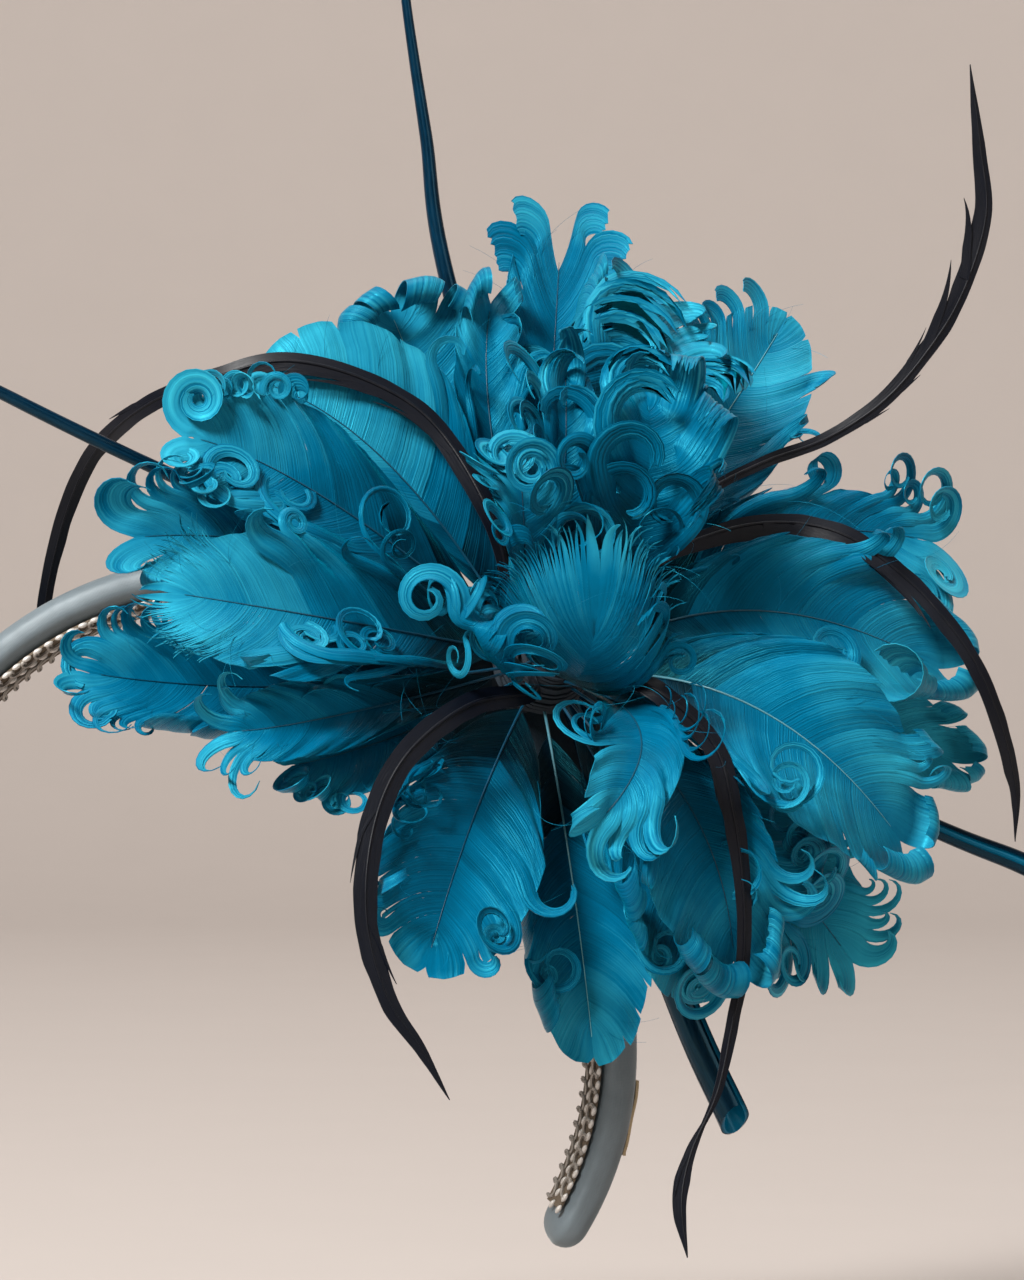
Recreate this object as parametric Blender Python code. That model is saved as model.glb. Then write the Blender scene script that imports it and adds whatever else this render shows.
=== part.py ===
"""Feather headband: curled feathers, trimmed blades and stripped quills sewn to a padded satin band.

Units are metres. +Z is up, -Y is the side the wearer faces. The origin is on the inner face of the
band at its crown, where it sits on the head. Driving sizes are real millimetres times MM.
"""
import math
from collections import namedtuple

import bmesh
import bpy
from mathutils import Vector

MM = 0.001
GAP = 0.3 * MM

# Band: a padded bow with a braid sewn along its inner face
BAND_HALF_WIDTH = 81.0 * MM
BAND_WIDEST_DEPTH = 89.0 * MM
BAND_BOW_POWER = 2.12
BAND_LEG_RADIUS = 72.0 * MM
BAND_LEG_SWEEP = math.radians(35)
BAND_LEAN = math.radians(20)
PAD_WIDTH = 13.0 * MM
PAD_THICKNESS = 7.8 * MM
BRAID_WIDTH = 9.5 * MM
BRAID_THICKNESS = 1.4 * MM
TAB_WIDTH = 5.0 * MM
TAB_THICKNESS = 0.6 * MM
TAB_SPAN = (math.radians(5), math.radians(17))
BOW_STATIONS = 36
LEG_STATIONS = 7

# Flower frame: where it sits on the band and which way it faces
SEAT = Vector((54.6, 0.0, -19.3)) * MM
FACE = Vector((0.33, -0.89, 0.31)).normalized()
UPWARD = (Vector((0, 0, 1)) - FACE.z * FACE).normalized()
SIDEWAYS = UPWARD.cross(FACE)

BASE_RADIUS = 22.0 * MM
BASE_LIFT = 5.0 * MM
BASE_THICKNESS = 2.5 * MM
BASE_SIDES = 36

# The bound stem behind the feathers: lift along the flower's axis and radius, in mm
Turn = namedtuple("Turn", "lift radius")
STEM_TURNS = (
    Turn(7.8, 5.0),
    Turn(20.4, 5.0),
    Turn(21.2, 9.2),
    Turn(24.5, 9.2),
    Turn(28.0, 7.8),
    Turn(32.0, 5.6),
    Turn(35.0, 2.6),
)
STEM_SIDES = 24
ROOT_ROOM = 0.9

# Feathers, in the flower frame: clock is in degrees, anticlockwise from the flower's right.
# Reach is the distance from the axis and lift the height along it, both in mm, at the middle
# and at the tip. Cup is how far the edges stand forward, twist turns the tip in degrees.
Feather = namedtuple(
    "Feather",
    "name root_clock root_lift mid_clock mid_reach mid_lift tip_clock tip_reach tip_lift width cup twist",
)
FEATHERS = (
    Feather("feather_top_fork", 85, 22.0, 83, 50, 27, 81, 98, 24, 21, 2, 0),
    Feather("feather_top_right", 50, 22.0, 49, 55, 25, 50, 97, 21, 27, 3, 0),
    Feather("feather_right_back", 350, 22.0, 351, 52, 24, 347, 89, 21, 22, 3, 0),
    Feather("feather_low_back", 317, 22.0, 317, 50, 24, 314, 83, 22, 24, 3, 0),
    Feather("feather_top_left_fan", 112, 22.0, 108, 51, 23, 108, 77, 24, 34, 3, 0),
    Feather("feather_left_pale", 130, 24.5, 128, 49, 31, 134, 77, 30, 24, 3, 0),
    Feather("feather_top_back", 66, 24.5, 73, 48, 33, 71, 82, 30, 22, 3, 0),
    Feather("feather_top_left_slim", 100, 24.5, 100, 47, 31, 94, 73, 31, 14, 2, 0),
    Feather("feather_left_high", 150, 27.0, 148, 54, 38, 151, 83, 40, 26, 3, 0),
    Feather("feather_left_mid", 162, 24.0, 158, 51, 33, 166, 88, 36, 20, 3, 0),
    Feather("feather_right_high", 24, 24.5, 27, 48, 34, 16, 87, 30, 26, 3, 0),
    Feather("feather_low_curl", 300, 24.5, 302, 47, 31, 309, 71, 28, 20, 3, 0),
    Feather("feather_down_mid", 267, 23.0, 267, 46, 32, 269, 79, 30, 25, 3, 0),
    Feather("feather_left_low", 187, 25.0, 187, 57, 32, 183, 96, 35, 22, 3, 0),
    Feather("feather_left_under", 210, 26.0, 207, 41, 38, 203, 65, 41, 18, 3, 0),
    Feather("feather_right_mid", 5, 28.0, 7, 39, 43, 356, 78, 38, 30, 3, 0),
    Feather("feather_down_left", 235, 27.0, 235, 44, 44, 239, 76, 48, 30, 3, 0),
    Feather("feather_down_right_long", 281, 26.5, 281, 46, 44, 283, 71, 40, 20, 3, 0),
    Feather("feather_right_low", 331, 29.0, 328, 36, 55, 324, 74, 48, 34, 4, 0),
    Feather("feather_down_right", 296, 29.5, 292, 40, 52, 289, 70, 46, 24, 3, 0),
    Feather("feather_left_front", 178, 30.0, 181, 50, 53, 177, 84, 54, 28, 3, 0),
    Feather("feather_left_tuft", 200, 29.0, 199, 52, 47, 196, 75, 48, 14, 2, 0),
    Feather("feather_crown_back", 72, 27.5, 75, 42, 42, 71, 74, 42, 26, 3, 0),
    Feather("feather_crown_slim", 104, 30.0, 96, 25, 50, 90, 51, 53, 14, 2, 0),
    Feather("feather_crown_spiral", 130, 31.0, 141, 18, 56, 118, 33, 61, 15, 2, 0),
    Feather("feather_crown_front", 60, 31.0, 65, 24, 58, 74, 46, 62, 24, 3, 0),
    Feather("feather_down_front", 280, 32.0, 276, 26, 62, 258, 45, 66, 16, 2, 0),
    Feather("feather_front_left", 200, 32.0, 203, 27, 60, 182, 30, 66, 13, 2, 0),
    Feather("feather_front_cup", 240, 34.0, 233, 10, 62, 146, 7, 78, 24, 4, 0),
)
FEATHER_THICKNESS = 1.0 * MM
FEATHER_STATIONS = 9
FEATHER_ACROSS = 5
FEATHER_WIDEST = 0.6
FEATHER_ROOT_SHARE = 0.09
FEATHER_TIP_ROOM = 0.43

# Blades: long trimmed tail feathers, from a root on the stem along a route in mm
Blade = namedtuple("Blade", "root_clock root_lift points")
Point = namedtuple("Point", "x y z")
BLADES = {
    "blade_left_arch": Blade(140, 29.0, (
        Point(53, -33, 15), Point(42, -28, 34), Point(29, -28, 43), Point(13, -30, 47),
        Point(-1, -29, 44), Point(-15, -20, 39), Point(-26, -6, 31), Point(-33, 4, 19),
        Point(-38, 11, 1), Point(-38, 13, -9),
    )),
    "blade_down_left": Blade(222, 31.0, (
        Point(60, -53, -17), Point(49, -64, -19), Point(39, -72, -26), Point(33, -77, -35),
        Point(30, -83, -47), Point(30, -86, -60), Point(34, -88, -73), Point(40, -88, -82),
        Point(45, -88, -91),
    )),
    "blade_right_arch": Blade(38, 28.0, (
        Point(77, -31, 8), Point(93, -17, 21), Point(106, -8, 28), Point(119, -3, 33),
        Point(131, -3, 41), Point(141, -3, 53), Point(147, -3, 64), Point(151, -2, 78),
        Point(150, -1, 91), Point(148, 0, 108),
    )),
    "blade_right_droop": Blade(15, 31.0, (
        Point(81, -31, 6), Point(97, -20, 14), Point(111, -14, 16), Point(123, -15, 13),
        Point(135, -16, 4), Point(142, -18, -4), Point(148, -18, -13), Point(153, -15, -25),
        Point(156, -11, -37), Point(156, -10, -47),
    )),
    "blade_down_right": Blade(300, 33.0, (
        Point(81, -54, -15), Point(94, -55, -26), Point(98, -57, -39), Point(100, -57, -54),
        Point(100, -56, -68), Point(98, -57, -79), Point(95, -60, -92), Point(90, -63, -103),
        Point(88, -67, -112), Point(89, -70, -122),
    )),
}
BLADE_WIDTH = 4.6 * MM
BLADE_THICKNESS = 1.1 * MM
BLADE_STATIONS = 17
BLADE_SIDES = 6

# Quills: stripped shafts from their thin tip to their cut end, in mm
Bar = namedtuple("Bar", "x y z radius")
QUILLS = {
    "quill_across": (
        Bar(-52, -38, 46, 1.1), Bar(-43, -36, 41, 1.25), Bar(-10, -29, 25, 1.4), Bar(64, -13, -8.2, 1.7),
        Bar(135, 2.5, -42, 1.9), Bar(159, 8, -52, 2.2), Bar(171, 10, -58, 2.3),
    ),
    "quill_upright": (
        Bar(34, 14, 136, 1.0), Bar(35, 12, 122, 1.0), Bar(39, 8, 95, 1.3), Bar(44, 3, 63, 1.7),
        Bar(67, -9, -15, 2.3), Bar(89, -17, -76, 3.2), Bar(101, -21, -103, 3.4),
    ),
}
QUILL_STATIONS = 22
QUILL_SIDES = 10
QUILL_GROOVE = 0.62
QUILL_BORE = 0.55
QUILL_BORE_DEPTH = 9.0 * MM

Finish = namedtuple("Finish", "colour roughness metallic")
FINISHES = {
    "satin": Finish((0.29, 0.35, 0.38), 0.38, 0.0),
    "braid": Finish((0.46, 0.43, 0.38), 0.4, 0.7),
    "tab": Finish((0.55, 0.44, 0.27), 0.45, 0.2),
    "felt": Finish((0.01, 0.14, 0.2), 0.9, 0.0),
    "thread": Finish((0.01, 0.2, 0.27), 0.6, 0.0),
    "feather": Finish((0.01, 0.25, 0.34), 0.55, 0.0),
    "blade": Finish((0.008, 0.009, 0.022), 0.42, 0.0),
    "quill": Finish((0.008, 0.07, 0.12), 0.25, 0.0),
}


def clear_scene():
    """Remove what the file opened with."""
    for thing in list(bpy.data.objects):
        bpy.data.objects.remove(thing)


def finish_for(name, kind):
    """Make one piece's own Principled material."""
    finish = FINISHES[kind]
    material = bpy.data.materials.new(name + "_finish")
    material.use_nodes = True
    shader = material.node_tree.nodes["Principled BSDF"]
    shader.inputs["Base Color"].default_value = (*finish.colour, 1.0)
    shader.inputs["Roughness"].default_value = finish.roughness
    shader.inputs["Metallic"].default_value = finish.metallic
    return material


def add_piece(name, mesh_work, kind):
    """Turn a bmesh into a named, smooth object whose faces point out."""
    bmesh.ops.recalc_face_normals(mesh_work, faces=mesh_work.faces)
    mesh = bpy.data.meshes.new(name)
    mesh_work.to_mesh(mesh)
    mesh_work.free()
    mesh.shade_smooth()
    mesh.set_sharp_from_angle(angle=math.radians(40))
    piece = bpy.data.objects.new(name, mesh)
    piece.data.materials.append(finish_for(name, kind))
    bpy.context.collection.objects.link(piece)
    return piece


def skin_loops(loops):
    """Join rings of equally many points into one closed body with flat ends."""
    work = bmesh.new()
    rings = [[work.verts.new(point) for point in loop] for loop in loops]
    for ring, following in zip(rings, rings[1:]):
        count = len(ring)
        for index in range(count):
            beside = (index + 1) % count
            work.faces.new((ring[index], ring[beside], following[beside], following[index]))
    work.faces.new(rings[0])
    work.faces.new(rings[-1])
    return work


def smooth_route(points, stations):
    """Read evenly numbered points from a Catmull-Rom curve through the route's own points."""
    first = 2 * points[0] - points[1]
    last = 2 * points[-1] - points[-2]
    padded = [first] + list(points) + [last]
    spans = len(points) - 1
    route = []
    for index in range(stations):
        place = spans * index / (stations - 1)
        span = min(int(place), spans - 1)
        part = place - span
        before, start, end, after = padded[span:span + 4]
        bend = 2 * before - 5 * start + 4 * end - after
        swing = 3 * start - before - 3 * end + after
        route.append(0.5 * (2 * start + (end - before) * part + bend * part ** 2 + swing * part ** 3))
    return route


def directions(route):
    """Give the unit tangent at each point of a route."""
    last = len(route) - 1
    return [
        (route[min(index + 1, last)] - route[max(index - 1, 0)]).normalized()
        for index in range(last + 1)
    ]


# Band

BandStation = namedtuple("BandStation", "place outward across")


def band_station(x, z, tangent_x, tangent_z):
    """Lean the band's section forward about its own run, so that the inner face shows in front."""
    outward = Vector((-tangent_z, 0, tangent_x)).normalized()
    back = Vector((0, 1, 0))
    leaned = outward * math.cos(BAND_LEAN) + back * math.sin(BAND_LEAN)
    across = back * math.cos(BAND_LEAN) - outward * math.sin(BAND_LEAN)
    inner_reach = PAD_THICKNESS / 2 + GAP + BRAID_THICKNESS
    return BandStation(Vector((x, inner_reach * math.sin(BAND_LEAN), z)), leaned, across)


def bow_station(angle):
    """A station of the upper bow, a flattened ellipse. The angle is 0 at the crown."""
    half_width = BAND_HALF_WIDTH - PAD_THICKNESS / 2
    crown = (PAD_THICKNESS / 2 + GAP + BRAID_THICKNESS) * math.cos(BAND_LEAN)
    rise = BAND_WIDEST_DEPTH + crown
    power = 2 / BAND_BOW_POWER
    sine = max(abs(math.sin(angle)), 1e-6)
    cosine = max(math.cos(angle), 1e-6)
    x = math.copysign(half_width * sine ** power, angle)
    z = -BAND_WIDEST_DEPTH + rise * cosine ** power
    slope_x = half_width * power * sine ** (power - 1) * cosine
    slope_z = -rise * power * cosine ** (power - 1) * sine * math.copysign(1, angle)
    return band_station(x, z, slope_x, slope_z)


def leg_station(side, angle):
    """A station of a leg, an arc that turns in below the widest place. Side is -1 or 1."""
    radius = BAND_LEG_RADIUS - PAD_THICKNESS / 2
    centre = BAND_HALF_WIDTH - BAND_LEG_RADIUS
    x = side * (centre + radius * math.cos(angle))
    z = -BAND_WIDEST_DEPTH - radius * math.sin(angle)
    return band_station(x, z, -math.sin(angle), -side * math.cos(angle))


def band_stations():
    """All stations from the left end over the crown to the right end."""
    steps = range(1, LEG_STATIONS + 1)
    leg_angles = [BAND_LEG_SWEEP * step / LEG_STATIONS for step in steps]
    left = [leg_station(-1, angle) for angle in reversed(leg_angles)]
    right = [leg_station(1, angle) for angle in leg_angles]
    bow = []
    for step in range(BOW_STATIONS + 1):
        bow.append(bow_station(math.pi * (step / BOW_STATIONS - 0.5)))
    return left + bow + right


def pad_section():
    """The pad's round back and flatter inner face, as across and outward offsets."""
    section = []
    for step in range(12):
        angle = 2 * math.pi * step / 12
        sine = math.sin(angle)
        outward = sine if sine >= 0 else -abs(sine) ** 0.45
        section.append((PAD_WIDTH / 2 * math.cos(angle), PAD_THICKNESS / 2 * outward))
    return section


def strip_section(width, thickness, middle):
    """A flat strip with eased edges, its middle that far outward of the band's own line."""
    half, easing, flat = width / 2, thickness / 3, thickness / 2
    corners = (
        (-half, -flat + easing), (-half + easing, -flat), (half - easing, -flat), (half, -flat + easing),
        (half, flat - easing), (half - easing, flat), (-half + easing, flat), (-half, flat - easing),
    )
    return [(across, middle + outward) for across, outward in corners]


def sweep_band(stations, section, ease_ends):
    """Carry a section along band stations. Eased ends shrink to a round close."""
    last = len(stations) - 1
    loops = []
    for index, station in enumerate(stations):
        share = 0.6 if ease_ends and index in (0, last) else 1.0
        loops.append([
            station.place + station.across * across * share + station.outward * outward * share
            for across, outward in section
        ])
    return skin_loops(loops)


def build_band():
    """Pad, braid and the small bare tab on the right leg."""
    stations = band_stations()
    add_piece("headband_pad", sweep_band(stations, pad_section(), True), "satin")
    braid_middle = -(PAD_THICKNESS / 2 + GAP + BRAID_THICKNESS / 2)
    braid = strip_section(BRAID_WIDTH, BRAID_THICKNESS, braid_middle)
    add_piece("band_braid", sweep_band(stations[1:-1], braid, False), "braid")
    start, stop = TAB_SPAN
    tab_stations = [leg_station(1, start + (stop - start) * step / 4) for step in range(5)]
    tab = strip_section(TAB_WIDTH, TAB_THICKNESS, PAD_THICKNESS / 2 + GAP + TAB_THICKNESS / 2)
    add_piece("band_tab", sweep_band(tab_stations, tab, False), "tab")


# Flower

def flower_point(clock, reach, lift):
    """A point of the flower frame, from degrees and metres."""
    angle = math.radians(clock)
    outward = SIDEWAYS * math.cos(angle) + UPWARD * math.sin(angle)
    return SEAT + outward * reach + FACE * lift


def flower_turning(turns, sides):
    """Turn a profile of lifts and radii about the flower's axis."""
    loops = []
    for lift, radius in turns:
        loops.append([flower_point(360 * side / sides, radius, lift) for side in range(sides)])
    return skin_loops(loops)


def build_base():
    """The felt disc sewn to the band, its edge eased."""
    easing = BASE_THICKNESS / 4
    turns = (
        (BASE_LIFT, BASE_RADIUS - easing),
        (BASE_LIFT + easing, BASE_RADIUS),
        (BASE_LIFT + BASE_THICKNESS - easing, BASE_RADIUS),
        (BASE_LIFT + BASE_THICKNESS, BASE_RADIUS - easing),
    )
    add_piece("flower_base", flower_turning(turns, BASE_SIDES), "felt")


def build_stem():
    """The thread-bound bunch of quill ends that the feathers grow from."""
    turns = [(turn.lift * MM, turn.radius * MM) for turn in STEM_TURNS]
    add_piece("stem_binding", flower_turning(turns, STEM_SIDES), "thread")


def stem_radius(lift):
    """The stem's radius in mm at a lift in mm."""
    for lower, upper in zip(STEM_TURNS, STEM_TURNS[1:]):
        if lift <= upper.lift:
            share = (lift - lower.lift) / (upper.lift - lower.lift)
            return lower.radius + share * (upper.radius - lower.radius)
    return STEM_TURNS[-1].radius


def feather_spread(share):
    """A vane's width at a share of its length: narrow at the root, full past the middle."""
    if share < FEATHER_WIDEST:
        rise = share / FEATHER_WIDEST
        return FEATHER_ROOT_SHARE + (1 - FEATHER_ROOT_SHARE) * rise * rise * (3 - 2 * rise)
    fall = (share - FEATHER_WIDEST) / FEATHER_TIP_ROOM
    return math.sqrt(1 - fall * fall)


def root_on_stem(clock, lift):
    """Where a feather or a blade starts, close to the bound stem."""
    return flower_point(clock, (stem_radius(lift) + ROOT_ROOM) * MM, lift * MM)


def feather_route(feather):
    """A vane's middle line, a parabola through root, middle and tip."""
    root = root_on_stem(feather.root_clock, feather.root_lift)
    middle = flower_point(feather.mid_clock, feather.mid_reach * MM, feather.mid_lift * MM)
    tip = flower_point(feather.tip_clock, feather.tip_reach * MM, feather.tip_lift * MM)
    pull = 2 * middle - (root + tip) / 2
    route = []
    for index in range(FEATHER_STATIONS):
        share = index / (FEATHER_STATIONS - 1)
        route.append((1 - share) ** 2 * root + 2 * share * (1 - share) * pull + share ** 2 * tip)
    return route


def build_feather(feather):
    """A cupped vane of even thickness along the feather's middle line."""
    route = feather_route(feather)
    level = FACE.cross(flower_point(feather.mid_clock, 1, 0) - SEAT)
    work = bmesh.new()
    rows = []
    for index, (place, along) in enumerate(zip(route, directions(route))):
        share = index / (FEATHER_STATIONS - 1)
        spread = feather_spread(share)
        side = (level - level.dot(along) * along).normalized()
        front = along.cross(side)
        turn = math.radians(feather.twist) * share
        side, front = (
            side * math.cos(turn) + front * math.sin(turn),
            front * math.cos(turn) - side * math.sin(turn),
        )
        row = []
        for step in range(FEATHER_ACROSS):
            across = 2 * step / (FEATHER_ACROSS - 1) - 1
            offset = side * across * feather.width / 2 + front * feather.cup * across ** 2
            row.append(work.verts.new(place + offset * spread * MM))
        rows.append(row)
    for row, following in zip(rows, rows[1:]):
        for step in range(FEATHER_ACROSS - 1):
            work.faces.new((row[step], following[step], following[step + 1], row[step + 1]))
    vane = add_piece(feather.name, work, "feather")
    shell = vane.modifiers.new("vane thickness", "SOLIDIFY")
    shell.thickness = FEATHER_THICKNESS
    shell.offset = 0.0


def build_blade(name, blade):
    """A slim lens-shaped blade that tapers to a point at its tip."""
    root = root_on_stem(blade.root_clock, blade.root_lift)
    route = smooth_route([root] + [Vector(point) * MM for point in blade.points], BLADE_STATIONS)
    loops = []
    for index, (place, along) in enumerate(zip(route, directions(route))):
        share = index / (BLADE_STATIONS - 1)
        taper = min(1.0, 0.45 + 2.2 * share) * math.sqrt(max(1 - share ** 3, 0.004))
        side = along.cross(FACE).normalized()
        front = side.cross(along)
        loop = []
        for step in range(BLADE_SIDES):
            angle = 2 * math.pi * step / BLADE_SIDES
            flat = side * math.cos(angle) * BLADE_WIDTH / 2
            thick = front * math.sin(angle) * BLADE_THICKNESS / 2
            loop.append(place + (flat + thick) * taper)
        loops.append(loop)
    add_piece(name, skin_loops(loops), "blade")


def build_quill(name, bars):
    """A grooved shaft with a hollow at its cut end."""
    route = smooth_route([Vector(bar[:3]) * MM for bar in bars], QUILL_STATIONS)
    radii = smooth_route([Vector((bar.radius * MM, 0, 0)) for bar in bars], QUILL_STATIONS)
    tangents = directions(route)
    loops = []
    for place, along, size in zip(route, tangents, radii):
        side = along.cross(FACE).normalized()
        front = side.cross(along)
        loop = []
        for step in range(QUILL_SIDES):
            angle = 2 * math.pi * step / QUILL_SIDES
            radius = size.x * (QUILL_GROOVE if step == 0 else 1.0)
            loop.append(place + (front * math.cos(angle) + side * math.sin(angle)) * radius)
        loops.append(loop)
    shaft = add_piece(name, skin_loops(loops), "quill")
    end, along = route[-1], tangents[-1]
    bpy.ops.mesh.primitive_cylinder_add(
        vertices=QUILL_SIDES,
        radius=radii[-1].x * QUILL_BORE,
        depth=2 * QUILL_BORE_DEPTH,
        location=end,
        rotation=along.to_track_quat("Z", "Y").to_euler(),
    )
    cutter = bpy.context.object
    cutter.name = name + "_bore_cutter"
    cutter.hide_render = True
    cutter.display_type = "WIRE"
    bore = shaft.modifiers.new("cut end", "BOOLEAN")
    bore.operation = "DIFFERENCE"
    bore.solver = "EXACT"
    bore.object = cutter


def main():
    clear_scene()
    build_band()
    build_base()
    build_stem()
    for feather in FEATHERS:
        build_feather(feather)
    for name, blade in BLADES.items():
        build_blade(name, blade)
    for name, bars in QUILLS.items():
        build_quill(name, bars)


main()
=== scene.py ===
"""Looks of the feather headband: curled feathers, blades, quills, satin band and braid.

Every length in this file's tables is in millimetres of the row frame and is turned into metres as a
mesh is made. The flower frame is the same as the CAD's: clock is in degrees anticlockwise from the
flower's right, reach is the distance from its axis and lift the height along it.
"""
from __future__ import annotations

import logging
import math
from dataclasses import dataclass, field, replace
from enum import Enum
from typing import Sequence

import bpy
import numpy as np
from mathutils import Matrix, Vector


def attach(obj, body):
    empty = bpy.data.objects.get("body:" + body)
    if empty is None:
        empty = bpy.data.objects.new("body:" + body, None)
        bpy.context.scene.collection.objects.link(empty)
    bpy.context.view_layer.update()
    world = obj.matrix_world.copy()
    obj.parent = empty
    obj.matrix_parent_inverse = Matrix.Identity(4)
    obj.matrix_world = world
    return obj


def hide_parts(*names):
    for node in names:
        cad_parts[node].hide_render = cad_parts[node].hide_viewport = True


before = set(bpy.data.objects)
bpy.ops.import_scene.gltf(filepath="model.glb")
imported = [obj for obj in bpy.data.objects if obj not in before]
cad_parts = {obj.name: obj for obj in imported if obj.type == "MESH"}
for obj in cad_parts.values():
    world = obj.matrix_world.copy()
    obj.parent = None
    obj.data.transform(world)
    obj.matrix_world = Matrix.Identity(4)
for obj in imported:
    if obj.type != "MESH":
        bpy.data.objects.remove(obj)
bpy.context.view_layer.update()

MM = 0.001
LOG = logging.getLogger("feather_headband")
Grid = np.ndarray
Pair = tuple[float, float]
Triple = tuple[float, float, float]
Colour = Triple
Material = bpy.types.Material
Piece = bpy.types.Object


def unit(vectors: Grid) -> Grid:
    """Scale vectors to length 1 along the last axis."""
    return vectors / np.maximum(np.linalg.norm(vectors, axis=-1, keepdims=True), 1e-9)


def smoothstep(values: Grid) -> Grid:
    """Ease values from 0 to 1."""
    clipped = np.clip(values, 0.0, 1.0)
    return clipped * clipped * (3.0 - 2.0 * clipped)


def read_table(place: Grid, lengths: Grid, table: Grid) -> Grid:
    """Read a table of vectors, kept at lengths, at places between those lengths."""
    return np.stack([np.interp(place, lengths, table[:, axis]) for axis in range(3)], axis=-1)


def turned(first: Grid, second: Grid, angle: float) -> tuple[Grid, Grid]:
    """Turn two axes in their own plane, the first towards the second."""
    return (first * math.cos(angle) + second * math.sin(angle),
            second * math.cos(angle) - first * math.sin(angle))


# Shader arithmetic


class Signal:
    """One output socket of a shader, with the arithmetic that the finishes use."""

    def __init__(self, bench: "Bench", socket: bpy.types.NodeSocket) -> None:
        """Keep the bench and the socket."""
        self.bench = bench
        self.socket = socket

    def __add__(self, other: "Signal | float") -> "Signal":
        """Add a signal or a number."""
        return self.bench.math("ADD", self, other)

    def __mul__(self, other: "Signal | float") -> "Signal":
        """Multiply by a signal or a number."""
        return self.bench.math("MULTIPLY", self, other)

    def __sub__(self, other: "Signal | float") -> "Signal":
        """Subtract a signal or a number."""
        return self.bench.math("SUBTRACT", self, other)

    def __rsub__(self, other: float) -> "Signal":
        """Subtract this signal from a number."""
        return self.bench.math("SUBTRACT", other, self)

    __radd__ = __add__
    __rmul__ = __mul__


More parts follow.
